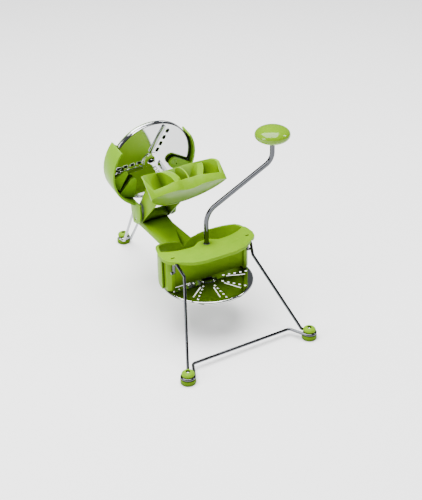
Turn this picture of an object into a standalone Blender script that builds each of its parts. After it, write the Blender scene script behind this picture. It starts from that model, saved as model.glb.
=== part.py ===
"""Hand-cranked food mill on a wire stand, with a hinged pusher and a hinged holder of spare discs.

Metres, +Z up, origin on the floor in the middle of the stand's footprint.
The moulded parts are laid out about the crank's axis.
The pusher and the disc holder are laid out shut, then swung open about the hinge.
"""

import math
from itertools import combinations

import bmesh
import bpy
from mathutils import Matrix, Vector

MM = 0.001

# Clearances and overruns
SEAT_GAP = 0.3 * MM
RUNNING_GAP = 0.5 * MM
OVERRUN = 3.0 * MM
JOINT_OVERLAP = 1.2 * MM

# Discs
DISC_RADIUS = 62.5 * MM
DISC_THICKNESS = 0.9 * MM
DISC_RIM_DEPTH = 4.0 * MM
DISC_HUB_RADIUS = 13.0 * MM
DISC_HUB_HEIGHT = 1.4 * MM
HUB_FLANGE = 0.8 * MM
HUB_WALL = 1.6 * MM
SLOT_LENGTH = 9.0 * MM
SLOT_WIDTH = 4.6 * MM
MOUNTED_DISC_TOP = 69.0 * MM
GRATER_HOLE_RADIUS = 1.7 * MM
GRATER_FIRST_RADIUS = 22.6 * MM
GRATER_PITCH = 8.1 * MM
GRATER_ROWS = 9
GRATER_HOLES = 5
GRATER_FIRST_TURN = math.radians(-13.0)
CUT_FIRST_RADIUS = 26.0 * MM
CUT_LENGTH = 26.0 * MM
CUT_WIDTH = 1.6 * MM
CUT_TURN = math.radians(-8.5)
STORED_HOLES = 4
BLADE_LENGTH = 44.0 * MM
BLADE_WIDTH = 5.2 * MM
BLADE_THICKNESS = 1.3 * MM
BLADE_INNER_RADIUS = 12.5 * MM
BLADE_OFFSET = 5.4 * MM
BLADE_SLOT_WIDTH = 3.4 * MM
BLADE_SLOT_SHOW = 0.9 * MM
BLADE_COUNT = 3
BLADE_FIRST_TURN = math.radians(-63.0)
TOOTH_HOLE_START = 2.6 * MM
TOOTH_HOLE_LENGTH = 6.5 * MM
TOOTH_HOLE_WIDTH = 4.0 * MM
TOOTH_HOLE_OFFSET = 1.6 * MM
TOOTH_HOLE_PITCH = 10.5 * MM
TOOTH_HOLES = 4

# Feed hopper
CHAMBER_RADIUS = 64.2 * MM
WALL = 2.5 * MM
HOPPER_BOTTOM = 70.6 * MM
PLATE_TOP = 122.7 * MM
PLATE_THICKNESS = 2.2 * MM
PLATE_FRONT = 37.8 * MM
PLATE_SIDE = 69.0 * MM
FLANGE_DEPTH = 4.7 * MM
FLANGE_WALL = 2.0 * MM
RIM_LIP = 1.6 * MM
RIM_LIP_DEPTH = 2.4 * MM
RIM_STEP = 0.4 * MM
ARM_TOP = 92.8 * MM
RIM_LEVEL_ANGLE = math.radians(22.0)
CHAMBER_END_ANGLE = math.radians(4.0)
EDGE_BASE = 1.0 * MM
EDGE_RISE = 11.0 * MM
EDGE_SPAN = 62.0 * MM
EDGE_POWER = 4
BOSS_RISE = 8.7 * MM
BOSS_SPAN = 14.5 * MM
FRONT_WALL_FACE = 5.5 * MM
FRONT_WALL_BOTTOM = 74.0 * MM
TUBE_RADIUS = 9.6 * MM
TUBE_STEP = 1.0 * MM
POST_INNER = 53.5 * MM
POST_WIDTH = 9.2 * MM
POST_FRONT = 7.5 * MM
POST_CHAMFER = 4.5 * MM
PLATE_SLOT_X = 57.0 * MM
PLATE_SLOT_Y = 10.4 * MM
PLATE_SLOT_LENGTH = 6.0 * MM
PLATE_SLOT_WIDTH = 2.8 * MM

# Plate outline: shares of the plate's side and of its front
PLATE_CORNER_SHARES = (
    (0.33, 1.00),
    (0.56, 0.91),
    (0.72, 0.72),
    (0.87, 0.55),
    (0.96, 0.39),
    (1.00, 0.16),
)

# Crank
ROD_RADIUS = 3.3 * MM
ROD_BEND = 168.0 * MM
CRANK_THROW = 85.8 * MM
CRANK_UPPER_BEND = 245.5 * MM
KNOB_CENTRE = 280.0 * MM
CRANK_TURN = math.radians(-33.5)
LOWER_BEND_RADIUS = 38.0 * MM
UPPER_BEND_RADIUS = 24.0 * MM
TANG_LENGTH = 8.4 * MM
TANG_WIDTH = 4.0 * MM
TANG_END = 57.5 * MM
COLLAR_RADIUS = 6.2 * MM
BUSH_RADIUS = 4.6 * MM
BUSH_LENGTH = 22.0 * MM
BUSH_STAND = 0.5 * MM
LOCK_RADIUS = 9.0 * MM
LOCK_HEIGHT = 7.0 * MM
KNOB_RADIUS = 22.9 * MM
KNOB_HEIGHT = 20.6 * MM
KNOB_BASE_RADIUS = 11.0 * MM
KNOB_FULLNESS = 0.8
KNOB_LINER_WALL = 1.1 * MM
KNOB_LINER_LENGTH = 12.5 * MM

# Arm and hinge
ARM_HALF_WIDTH = 20.5 * MM
ARM_WALL = 2.6 * MM
ARM_FRONT_DEPTH = 14.0 * MM
ARM_REAR_DEPTH = 10.0 * MM
ARM_END = 172.0 * MM
ARM_ROUNDING = 8.0 * MM
ARM_ROUNDING_END = 130.0 * MM
ARM_SQUARE_ROUNDING = 2.0 * MM
ARM_BLOCK_LENGTH = 24.0 * MM
HINGE_Y = 153.5 * MM
HINGE_Z = 98.8 * MM
PIN_RADIUS = 2.0 * MM
PIN_RECESS = 0.6 * MM
HINGE_BOSS_RADIUS = 7.5 * MM

# Trough from the arm's top down into the chamber's back wall
NOTCH_APEX = (9.8 * MM, 105.4 * MM)
NOTCH_TIP = (-1.3 * MM, 86.9 * MM)
NOTCH_LEFT = -5.1 * MM
NOTCH_RIGHT = (14.0 * MM, 100.0 * MM)
NOTCH_STRETCH = 2.2

# Pusher and its lever
PUSHER_OPEN = math.radians(47.5)
PUSHER_RADIUS = 59.0 * MM
PUSHER_BOTTOM = 74.8 * MM
PUSHER_FLOOR = 2.2 * MM
PUSHER_WALL = 2.2 * MM
PUSHER_FRONT_GAP = 3.0 * MM
PUSHER_LIP_TOP = 84.5 * MM
PUSHER_LIP_RISE = 5.7 * MM
PUSHER_LIP_SPAN = 24.0 * MM
PUSHER_TOP = 124.0 * MM
PUSHER_STEP = 0.4 * MM
PUSHER_CROWDING = 0.8
RIB_FULLNESS = 1.4
LEFT_RIB_WALL = 10.2 * MM
LEFT_RIB_X = -12.4 * MM
MIDDLE_RIB_WALL = 1.8 * MM
MIDDLE_RIB_X = 1.5 * MM
MIDDLE_RIB_LEAN = 0.25
RIGHT_RIB_WALL = 9.0 * MM
RIGHT_RIB_X = 9.3 * MM
RIGHT_RIB_LEAN = 0.75
LEVER_HALF_WIDTH = 23.2 * MM
LEVER_WALL = 2.2 * MM
LEVER_FRONT = 46.0 * MM
LEVER_LOW = 87.5 * MM
LEVER_HIGH = 103.5 * MM
LEVER_STEP = 72.5 * MM
LEVER_STEP_RUN = 3.0 * MM
LEVER_EYE_RADIUS = 8.8 * MM
LEVER_ROOF_END = 136.0 * MM
LEVER_ROOF_TOP = 112.0 * MM

# Pusher's back rim: shares of a quarter turn from the side and of the rise above the lip
PUSHER_RIM_SHARES = (
    (0.142, 0.0),
    (0.150, 0.30),
    (0.170, 0.44),
    (0.206, 0.575),
    (0.289, 0.715),
    (0.439, 0.835),
    (0.533, 0.90),
    (0.639, 0.95),
    (0.833, 0.99),
    (1.0, 1.0),
)

# Disc holder
HOLDER_OPEN = math.radians(78.0)
HOLDER_CENTRE_Y = 70.5 * MM
STORED_RIM_EDGE = 113.8 * MM
HOLDER_WALL_GAP = 1.6 * MM
HOLDER_WALL = 2.8 * MM
HOLDER_WALL_REACH = 7.5 * MM
HOLDER_BACK_THICKNESS = 2.4 * MM
HOLDER_LEDGE = 8.0 * MM
LEFT_GAP_ANGLE = math.radians(34.0)
RIGHT_GAP_ANGLE = math.radians(31.0)
HOLDER_REAR_HALF_GAP = 25.6 * MM
HOLDER_GRIP_RADIUS = 13.0 * MM
EAR_OUTER = 29.5 * MM
EAR_WALL = 3.0 * MM
EAR_REACH = 14.2 * MM
TAB_GAP = 0.7 * MM
TAB_THICKNESS = 3.6 * MM
LEFT_WALL_REACH = 9.0 * MM
RIGHT_WALL_REACH = 2.5 * MM
LEFT_TAB_ROOT = (-59.5 * MM, 95.0 * MM)
LEFT_TAB_TIP = (-43.6 * MM, 78.6 * MM)
LEFT_TAB_WIDTH = 25.0 * MM
LEFT_TAB_ROUND = 4.7 * MM
REAR_TAB_ROOT = (-39.0 * MM, 118.5 * MM)
REAR_TAB_TIP = (-30.3 * MM, 95.0 * MM)
REAR_TAB_WIDTH = 27.0 * MM
REAR_TAB_ROUND = 6.0 * MM
RIGHT_TAB_ROOT = (58.5 * MM, 96.5 * MM)
RIGHT_TAB_TIP = (34.5 * MM, 80.0 * MM)
RIGHT_TAB_WIDTH = 20.0 * MM
RIGHT_TAB_ROUND = 8.0 * MM

# Ear's outline about the hinge: shares of its reach
EAR_SHARES = (
    (-2.15, -0.76),
    (-1.20, -1.00),
    (-0.30, -0.97),
    (0.33, -0.49),
    (0.66, 0.31),
    (-0.53, 0.93),
    (-0.91, 1.03),
)

# Stand
FRONT_FOOT_X = 93.6 * MM
FRONT_FOOT_REACH = 108.7 * MM
REAR_FOOT_REACH = 262.5 * MM
FOOT_RADIUS = 10.45 * MM
FOOT_NECK_RADIUS = 5.9 * MM
FOOT_BASE_HEIGHT = 6.8 * MM
FOOT_HEIGHT = 17.6 * MM
FOOT_CAP_RADIUS = 8.7 * MM
FOOT_ROUNDING = 1.5 * MM
FOOT_SCREW_RADIUS = 1.4 * MM
FOOT_SCREW_HEAD = 2.7 * MM
FOOT_DIMPLE_DEPTH = 2.2 * MM
WIRE_RADIUS = 2.0 * MM
WIRE_BEND = 6.0 * MM
WIRE_PLAY = 0.4 * MM
LEG_TOP = (56.8 * MM, -19.3 * MM)
LEG_BEND = (52.5 * MM, -31.7 * MM, 104.4 * MM)
LEG_APPROACH = math.radians(62.0)
LEG_APPROACH_REACH = 11.0 * MM
HOOK_Y = -11.8 * MM
HOOK_DROP = 17.0 * MM
HOOK_CURL = 4.4 * MM
CROSSBAR_SETBACK = 20.7 * MM
CROSSBAR_INSET = 18.6 * MM
REAR_WIRE_X = 9.5 * MM
REAR_LEAD_X = 5.5 * MM
REAR_WIRE_BEND_Y = 200.0 * MM
REAR_WIRE_Z = 85.5 * MM
REAR_FOOT_LEAD = 13.5 * MM

# Roundness of turned, swept and wire pieces
FINE_SEGMENTS = 52
KNOB_SEGMENTS = 30
SMALL_SEGMENTS = 18
COARSE_SEGMENTS = 12
HOLE_SEGMENTS = 4
WIRE_RESOLUTION = 2
ROD_RESOLUTION = 4
BEND_STEPS = 4
LOOP_STEPS = 8
SIDE_STEPS = 3
EDGE_STEPS = 28
RIM_STEPS = 34
LIP_STEPS = 22
RIB_STEPS = 7
ROUNDING_STEPS = 5
HOLDER_STEPS = 14
TIP_STEPS = 6
KNOB_STEPS = 10
WELD = 0.01 * MM

# Derived places
DRIVE_Y = (FRONT_FOOT_REACH - REAR_FOOT_REACH) / 2
WIRE_Z = FOOT_BASE_HEIGHT + SEAT_GAP + WIRE_RADIUS
WIRE_LOOP_RADIUS = FOOT_NECK_RADIUS + SEAT_GAP + WIRE_RADIUS
CHAMBER_OUTER = CHAMBER_RADIUS + WALL
PLATE_UNDERSIDE = PLATE_TOP - PLATE_THICKNESS
HOLDER_INNER = DISC_RADIUS + HOLDER_WALL_GAP
HOLDER_OUTER = HOLDER_INNER + HOLDER_WALL
FRONT_DISC_FACE = STORED_RIM_EDGE + DISC_RIM_DEPTH
REAR_DISC_FACE = FRONT_DISC_FACE + SEAT_GAP + DISC_RIM_DEPTH
HOLDER_BACK = REAR_DISC_FACE + 2 * SEAT_GAP
TAB_HEIGHT = STORED_RIM_EDGE - TAB_GAP - TAB_THICKNESS
LEFT_WALL_FRONT = TAB_HEIGHT - LEFT_WALL_REACH
RIGHT_WALL_FRONT = TAB_HEIGHT - RIGHT_WALL_REACH


def clear_scene():
    for thing in list(bpy.data.objects):
        bpy.data.objects.remove(thing)


def material(name, colour, roughness, metallic):
    made = bpy.data.materials.new(name)
    made.use_nodes = True
    shader = made.node_tree.nodes["Principled BSDF"]
    shader.inputs["Base Color"].default_value = (*colour, 1.0)
    shader.inputs["Roughness"].default_value = roughness
    shader.inputs["Metallic"].default_value = metallic
    made.diffuse_color = (*colour, 1.0)
    return made


def mesh_object(name, shape):
    bmesh.ops.recalc_face_normals(shape, faces=shape.faces)
    mesh = bpy.data.meshes.new(name)
    shape.to_mesh(mesh)
    shape.free()
    made = bpy.data.objects.new(name, mesh)
    bpy.context.scene.collection.objects.link(made)
    return made


def loft(name, sections, closed=False):
    """Join rings of equally many points into one solid, with end caps unless the row closes."""
    shape = bmesh.new()
    rings = [[shape.verts.new(point) for point in section] for section in sections]
    count = len(rings[0])
    pairs = list(zip(rings, rings[1:]))
    if closed:
        pairs.append((rings[-1], rings[0]))
    else:
        shape.faces.new(list(reversed(rings[0])))
        shape.faces.new(rings[-1])
    for low, high in pairs:
        for i in range(count):
            j = (i + 1) % count
            shape.faces.new((low[i], low[j], high[j], high[i]))
    return mesh_object(name, shape)


def prism(name, outline, low, high):
    """Stand an outline in X and Y up between two heights."""
    return loft(name, [[(x, y, z) for x, y in outline] for z in (low, high)])


def side_prism(name, outline, left, right):
    """Run an outline in Y and Z sideways between two places in X."""
    return loft(name, [[(x, y, z) for y, z in outline] for x in (left, right)])


def box(name, low, high):
    return prism(name, [(low[0], low[1]), (high[0], low[1]), (high[0], high[1]), (low[0], high[1])],
                 low[2], high[2])


def wedge(name, points):
    """A solid with four corners."""
    shape = bmesh.new()
    corners = [shape.verts.new(point) for point in points]
    for three in combinations(corners, 3):
        shape.faces.new(three)
    return mesh_object(name, shape)


def turned(name, profile, centre=(0, 0), segments=FINE_SEGMENTS):
    """Turn a closed profile of radius and height about an upright axis."""
    sections = []
    for i in range(segments):
        angle = math.tau * i / segments
        sections.append([(centre[0] + r * math.cos(angle), centre[1] + r * math.sin(angle), z)
                         for r, z in profile])
    made = loft(name, sections, closed=True)
    return welded(made)


def welded(thing):
    shape = bmesh.new()
    shape.from_mesh(thing.data)
    bmesh.ops.remove_doubles(shape, verts=shape.verts, dist=WELD)
    bmesh.ops.dissolve_degenerate(shape, edges=shape.edges, dist=WELD)
    bmesh.ops.delete(shape, geom=[edge for edge in shape.edges if not edge.link_faces], context="EDGES")
    bmesh.ops.recalc_face_normals(shape, faces=shape.faces)
    shape.to_mesh(thing.data)
    shape.free()
    return thing


def cylinder(name, radius, low, high, centre=(0, 0), segments=SMALL_SEGMENTS):
    outline = [(centre[0] + radius * math.cos(math.tau * i / segments),
                centre[1] + radius * math.sin(math.tau * i / segments)) for i in range(segments)]
    return prism(name, outline, low, high)


def cross_cylinder(name, radius, left, right, segments=SMALL_SEGMENTS):
    """A cylinder along X about the hinge."""
    outline = [(HINGE_Y + radius * math.cos(math.tau * i / segments),
                HINGE_Z + radius * math.sin(math.tau * i / segments)) for i in range(segments)]
    return side_prism(name, outline, left, right)


def combine(base, operation, others):
    """Join or cut solids, leaving one plain mesh on the first."""
    for other in others:
        change = base.modifiers.new(operation.lower(), "BOOLEAN")
        change.operation = operation
        change.object = other
        other.hide_render = True
        other.display_type = "WIRE"
    evaluated = base.evaluated_get(bpy.context.evaluated_depsgraph_get())
    mesh = bpy.data.meshes.new_from_object(evaluated)
    base.modifiers.clear()
    base.data = mesh
    for other in others:
        bpy.data.objects.remove(other)
    return welded(base)


def join(base, *others):
    return combine(base, "UNION", others)


def cut(base, *others):
    return combine(base, "DIFFERENCE", others)


def finish(thing, look, parent, smooth_angle=math.radians(32.0)):
    thing.data.materials.clear()
    thing.data.materials.append(look)
    thing.data.shade_smooth()
    thing.data.set_sharp_from_angle(angle=smooth_angle)
    thing.parent = parent
    return thing


def empty(name, location, parent=None, swing=0.0):
    made = bpy.data.objects.new(name, None)
    bpy.context.scene.collection.objects.link(made)
    made.location = location
    made.rotation_euler = (swing, 0.0, 0.0)
    made.parent = parent
    return made


def hang_on(thing, pivot):
    """Take a solid laid out about the crank's axis into its pivot's own coordinates."""
    thing.data.transform(Matrix.Translation(-Vector(pivot)))
    return thing


def bent_path(points, radius):
    """Round the corners of a route with arcs of one radius, or less where the route is short."""
    route = [Vector(point) for point in points]
    path = [route[0]]
    for before, corner, after in zip(route, route[1:], route[2:]):
        back = (before - corner).normalized()
        ahead = (after - corner).normalized()
        half = back.angle(ahead) / 2
        if half > math.radians(88.0):
            path.append(corner)
            continue
        reach = min(radius / math.tan(half), (before - corner).length / 2, (after - corner).length / 2)
        bend = reach * math.tan(half)
        centre = corner + (back + ahead).normalized() * (bend / math.sin(half))
        start = corner + back * reach - centre
        end = corner + ahead * reach - centre
        sweep = start.angle(end)
        for step in range(BEND_STEPS + 1):
            share = step / BEND_STEPS
            turn = (math.sin((1 - share) * sweep) * start + math.sin(share * sweep) * end)
            path.append(centre + turn / math.sin(sweep))
    path.append(route[-1])
    return path


def wire(name, path, radius, resolution):
    """A round wire along a path, with flat ends."""
    curve = bpy.data.curves.new(name, "CURVE")
    curve.dimensions = "3D"
    curve.bevel_depth = radius
    curve.bevel_resolution = resolution
    curve.use_fill_caps = True
    line = curve.splines.new("POLY")
    line.points.add(len(path) - 1)
    for place, point in zip(line.points, path):
        place.co = (*point, 1.0)
    guide = bpy.data.objects.new(name + "_route", curve)
    bpy.context.scene.collection.objects.link(guide)
    bpy.context.view_layer.update()
    mesh = bpy.data.meshes.new_from_object(guide.evaluated_get(bpy.context.evaluated_depsgraph_get()))
    bpy.data.objects.remove(guide)
    made = bpy.data.objects.new(name, mesh)
    bpy.context.scene.collection.objects.link(made)
    return welded(made)


def mirrored(points):
    return [(-x, *rest) for x, *rest in reversed(points)]


def opening_edge(x):
    """The plate's rear edge, which bulges back round the crank and rises to both sides."""
    sides = EDGE_RISE * (x / EDGE_SPAN) ** EDGE_POWER
    return EDGE_BASE + sides + BOSS_RISE * math.exp(-((x / BOSS_SPAN) ** EDGE_POWER))


def rim_height(angle):
    """The chamber's rim, level at the sides and falling to the arm's top at the back."""
    from_side = min(angle, math.pi - angle)
    fall = max(0.0, from_side - RIM_LEVEL_ANGLE) / (math.pi / 2 - RIM_LEVEL_ANGLE)
    return PLATE_TOP - (PLATE_TOP - ARM_TOP) * fall


def arc_points(radius, start, end, steps, centre=(0, 0)):
    return [(centre[0] + radius * math.cos(start + (end - start) * i / steps),
             centre[1] + radius * math.sin(start + (end - start) * i / steps))
            for i in range(steps + 1)]


def around(centre, profile, angles, side=1):
    """Sections of a profile of radius and height, one at each angle about a centre."""
    return [[(side * r * math.cos(angle), centre + r * math.sin(angle), z) for r, z in profile(angle)]
            for angle in angles]


def spread(start, end, steps):
    return [start + (end - start) * i / steps for i in range(steps + 1)]


def wall_section(angle):
    top = rim_height(angle)
    return ((CHAMBER_RADIUS, HOPPER_BOTTOM), (CHAMBER_OUTER, HOPPER_BOTTOM), (CHAMBER_OUTER, top),
            (CHAMBER_RADIUS, top))


def lip_section(angle):
    top = rim_height(angle) - RIM_STEP
    inner = CHAMBER_OUTER - WALL / 2
    outer = CHAMBER_OUTER + RIM_LIP
    return ((inner, top - RIM_LIP_DEPTH), (outer, top - RIM_LIP_DEPTH), (outer, top), (inner, top))


def chamber_wall():
    angles = spread(CHAMBER_END_ANGLE, math.pi - CHAMBER_END_ANGLE, FINE_SEGMENTS // 2)
    return loft("feed_hopper", around(0, wall_section, angles))


def rim_lips():
    """The turned-out edge of the rim on both sides of the arm."""
    start = math.asin((opening_edge(EDGE_SPAN) - RIM_STEP) / CHAMBER_OUTER)
    end = math.acos((ARM_HALF_WIDTH + SEAT_GAP) / CHAMBER_OUTER)
    return [loft("lip", around(0, lip_section, spread(start, end, FINE_SEGMENTS // 6), side))
            for side in (1, -1)]


def plate_outline():
    """The plate's outer line, from the right side round the front to the left side."""
    end = math.asin(opening_edge(EDGE_SPAN) / CHAMBER_OUTER)
    front = [(PLATE_SIDE * across, -PLATE_FRONT * ahead) for across, ahead in PLATE_CORNER_SHARES]
    right = list(reversed(front + arc_points(PLATE_SIDE, 0, end, SIDE_STEPS)[1:]))
    return right + [(-x, y) for x, y in reversed(right)]


def top_plate():
    end = math.asin(opening_edge(EDGE_SPAN) / CHAMBER_OUTER)
    reach = CHAMBER_RADIUS * math.cos(end)
    edge = [(x, opening_edge(x)) for x in spread(-reach, reach, EDGE_STEPS)]
    return prism("plate", plate_outline() + edge, PLATE_UNDERSIDE, PLATE_TOP)


def plate_flange():
    """The turned-down edge round the front of the plate."""
    line = plate_outline()
    sections = []
    for i, (x, y) in enumerate(line):
        before = Vector(line[max(i - 1, 0)])
        after = Vector(line[min(i + 1, len(line) - 1)])
        along = (after - before).normalized()
        inward = Vector((along.y, -along.x)) * FLANGE_WALL
        inner = (x + inward.x, y + inward.y)
        sections.append([(x, y, PLATE_TOP), (x, y, PLATE_TOP - FLANGE_DEPTH),
                         (*inner, PLATE_TOP - FLANGE_DEPTH), (*inner, PLATE_TOP)])
    return loft("flange", sections)


def crank_tube():
    """The tube behind the front wall, flattened where it lies in the wall."""
    front = WALL / 2 - FRONT_WALL_FACE
    outline = [(x, max(y, front)) for x, y in arc_points(TUBE_RADIUS, 0, math.tau, SMALL_SEGMENTS)[1:]]
    return prism("tube", outline, FRONT_WALL_BOTTOM + TUBE_STEP, PLATE_UNDERSIDE + JOINT_OVERLAP)


def side_posts():
    """A chamfered post at each end of the front wall, and the web that ties it to the chamber."""
    back = CHAMBER_OUTER * math.sin(CHAMBER_END_ANGLE) + JOINT_OVERLAP + WALL
    outer = POST_INNER + POST_WIDTH
    outline = [(POST_INNER, back), (POST_INNER, -POST_FRONT), (outer - POST_CHAMFER, -POST_FRONT),
               (outer, POST_CHAMFER - POST_FRONT), (outer, back)]
    web = [(outer - JOINT_OVERLAP, back - PUSHER_STEP), (outer - JOINT_OVERLAP, back - WALL),
           (CHAMBER_RADIUS + JOINT_OVERLAP, back - WALL), (CHAMBER_RADIUS + JOINT_OVERLAP, back - PUSHER_STEP)]
    return [prism("post", [(side * x, y) for x, y in shape], HOPPER_BOTTOM + lift,
                  PLATE_UNDERSIDE + JOINT_OVERLAP)
            for side in (1, -1) for shape, lift in ((outline, 0), (web, PUSHER_STEP))]


def feed_hopper():
    """Chamber, top plate, front wall, crank tube and side posts, moulded in one."""
    body = chamber_wall()
    wall_end = POST_INNER + POST_WIDTH / 2
    front_wall = box("front_wall", (-wall_end, -FRONT_WALL_FACE, FRONT_WALL_BOTTOM),
                     (wall_end, WALL - FRONT_WALL_FACE, PLATE_UNDERSIDE + JOINT_OVERLAP))
    join(body, top_plate(), plate_flange(), front_wall, crank_tube(), *rim_lips(), *side_posts())
    cutters = [cylinder("bush_bore", BUSH_RADIUS + SEAT_GAP, PLATE_TOP - BUSH_LENGTH,
                        PLATE_TOP + OVERRUN),
               cylinder("rod_bore", ROD_RADIUS + RUNNING_GAP, FRONT_WALL_BOTTOM - OVERRUN,
                        PLATE_TOP - BUSH_LENGTH + JOINT_OVERLAP), notch_wedge()]
    leg_space = WIRE_RADIUS + 2 * RUNNING_GAP
    for side in (1, -1):
        x, y = side * PLATE_SLOT_X, -PLATE_SLOT_Y
        cutters.append(box("slot", (x - PLATE_SLOT_LENGTH / 2, y - PLATE_SLOT_WIDTH / 2,
                                    PLATE_UNDERSIDE - OVERRUN / 2),
                           (x + PLATE_SLOT_LENGTH / 2, y + PLATE_SLOT_WIDTH / 2, PLATE_TOP + OVERRUN)))
        leg_x, leg_y = side * LEG_TOP[0], LEG_TOP[1]
        cutters.append(box("leg_space", (leg_x - leg_space, -PLATE_FRONT, PLATE_TOP - 2 * FLANGE_DEPTH),
                           (leg_x + leg_space, leg_y + leg_space, PLATE_UNDERSIDE)))
    return cut(body, *cutters)


def crank_bush():
    inner = ROD_RADIUS + SEAT_GAP
    low = PLATE_TOP - BUSH_LENGTH + SEAT_GAP
    return turned("crank_bush", [(inner, low), (BUSH_RADIUS, low), (BUSH_RADIUS, PLATE_TOP + BUSH_STAND),
                                 (inner, PLATE_TOP + BUSH_STAND)], segments=SMALL_SEGMENTS)


def notch_wedge():
    """The trough's space: its deepest line runs from a point on the arm down into the chamber's wall."""
    apex = Vector((*NOTCH_APEX, ARM_TOP))
    tip = Vector((NOTCH_TIP[0], CHAMBER_RADIUS, NOTCH_TIP[1]))
    left = Vector((NOTCH_LEFT, CHAMBER_RADIUS, ARM_TOP))
    right = Vector((NOTCH_RIGHT[0], CHAMBER_RADIUS, NOTCH_RIGHT[1]))
    corners = [tip, tip + (left - tip) * NOTCH_STRETCH, tip + (right - tip) * NOTCH_STRETCH]
    reach = (apex.y - CHAMBER_RADIUS + OVERRUN) / (apex.y - CHAMBER_RADIUS)
    return wedge("notch", [apex] + [apex + (corner - apex) * reach for corner in corners])


def arm_section(y, depth, rounding):
    """The arm's outline across X, with both upper edges rounded."""
    side = [(ARM_HALF_WIDTH - rounding + rounding * math.cos(turn), ARM_TOP - rounding + rounding * math.sin(turn))
            for turn in spread(0, math.pi / 2, ROUNDING_STEPS)]
    right = [(ARM_HALF_WIDTH, ARM_TOP - depth)] + side
    return [(x, y, z) for x, z in right] + [(-x, y, z) for x, z in reversed(right)]


def support_arm():
    """Inverted channel from the chamber's back wall to the hinge, with the leg's socket block."""
    front = CHAMBER_RADIUS - OVERRUN
    block_start = ARM_END - ARM_BLOCK_LENGTH
    fall = (ARM_FRONT_DEPTH - ARM_REAR_DEPTH) / (block_start - front)
    body = loft("support_arm", [
        arm_section(front, ARM_FRONT_DEPTH, ARM_ROUNDING),
        arm_section(ARM_ROUNDING_END, ARM_FRONT_DEPTH - fall * (ARM_ROUNDING_END - front), ARM_ROUNDING),
        arm_section(block_start, ARM_REAR_DEPTH, ARM_SQUARE_ROUNDING),
        arm_section(ARM_END, ARM_REAR_DEPTH, ARM_SQUARE_ROUNDING)])
    half, roof = ARM_HALF_WIDTH - ARM_WALL, ARM_TOP - ARM_WALL
    corner = ARM_ROUNDING - ARM_WALL
    hollow = [(half, ARM_TOP - 2 * ARM_FRONT_DEPTH), (half, roof - corner), (half - corner, roof)]
    hollow += [(-x, z) for x, z in reversed(hollow)]
    cut(body, loft("hollow", [[(x, y, z) for x, z in hollow] for y in (front - OVERRUN, block_start)]))
    join(body, cross_cylinder("hinge_boss", HINGE_BOSS_RADIUS, -ARM_HALF_WIDTH, ARM_HALF_WIDTH),
         box("notch_floor", (NOTCH_LEFT - ARM_WALL, front + PUSHER_STEP, NOTCH_TIP[1] - ARM_WALL),
             (NOTCH_APEX[0], NOTCH_APEX[1], ARM_TOP - ARM_WALL / 2)))
    cutters = [cylinder("chamber", CHAMBER_OUTER + SEAT_GAP, 0, PLATE_TOP, segments=2 * FINE_SEGMENTS),
               cross_cylinder("pin_bore", PIN_RADIUS + SEAT_GAP, -ARM_HALF_WIDTH - OVERRUN,
                              ARM_HALF_WIDTH + OVERRUN), notch_wedge()]
    for side in (1, -1):
        cutters.append(y_cylinder("socket", WIRE_RADIUS + SEAT_GAP, side * REAR_WIRE_X, REAR_WIRE_Z,
                                  block_start + ARM_WALL, ARM_END + OVERRUN))
    return cut(body, *cutters)


def y_cylinder(name, radius, x, z, start, end, segments=COARSE_SEGMENTS):
    """A cylinder along Y."""
    rings = []
    for y in (start, end):
        rings.append([(x + radius * math.cos(math.tau * i / segments), y,
                       z + radius * math.sin(math.tau * i / segments)) for i in range(segments)])
    return loft(name, rings)


def hinge_pin():
    half = EAR_OUTER - PIN_RECESS
    return cross_cylinder("hinge_pin", PIN_RADIUS, -half, half)


def tangent_angle(corner, radius, way):
    """Where a line from a corner touches a loop about zero; way is -1 to the left seen from there."""
    return math.atan2(corner[1], corner[0]) + way * math.acos(radius / math.hypot(*corner))


def front_leg_wire():
    """One bent wire: a hook at each end, two legs, a loop round each foot and a crossbar."""
    foot = Vector((-FRONT_FOOT_X, -FRONT_FOOT_REACH, WIRE_Z))
    hook_z = PLATE_UNDERSIDE - SEAT_GAP - WIRE_RADIUS
    top_x, top_y = LEG_TOP
    reach = (LEG_APPROACH_REACH * math.cos(LEG_APPROACH), LEG_APPROACH_REACH * math.sin(LEG_APPROACH))
    tail = (CROSSBAR_INSET, CROSSBAR_SETBACK)
    start = tangent_angle(reach, WIRE_LOOP_RADIUS, 1)
    end = tangent_angle(tail, WIRE_LOOP_RADIUS, -1) + math.tau
    loop = [Vector((x, y, WIRE_Z)) for x, y in arc_points(WIRE_LOOP_RADIUS, start, end, LOOP_STEPS, foot)]
    leg = bent_path([(-top_x - HOOK_CURL, HOOK_Y, hook_z - HOOK_DROP), (-top_x, HOOK_Y, hook_z - HOOK_DROP),
                     (-top_x, HOOK_Y, hook_z), (-top_x, top_y, hook_z),
                     (-LEG_BEND[0], LEG_BEND[1], LEG_BEND[2]), foot + Vector((*reach, 0)), loop[0]],
                    WIRE_BEND)
    bar_y = foot.y + CROSSBAR_SETBACK
    tail_path = bent_path([loop[-1], foot + Vector((*tail, 0)), (0, bar_y, WIRE_Z)], WIRE_BEND)
    half = leg[:-1] + loop[:-1] + tail_path[:-1]
    middle = [Vector((0, bar_y, WIRE_Z))]
    return wire("front_leg_wire", half + middle + [Vector(p) for p in mirrored(half)], WIRE_RADIUS,
                WIRE_RESOLUTION)


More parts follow.
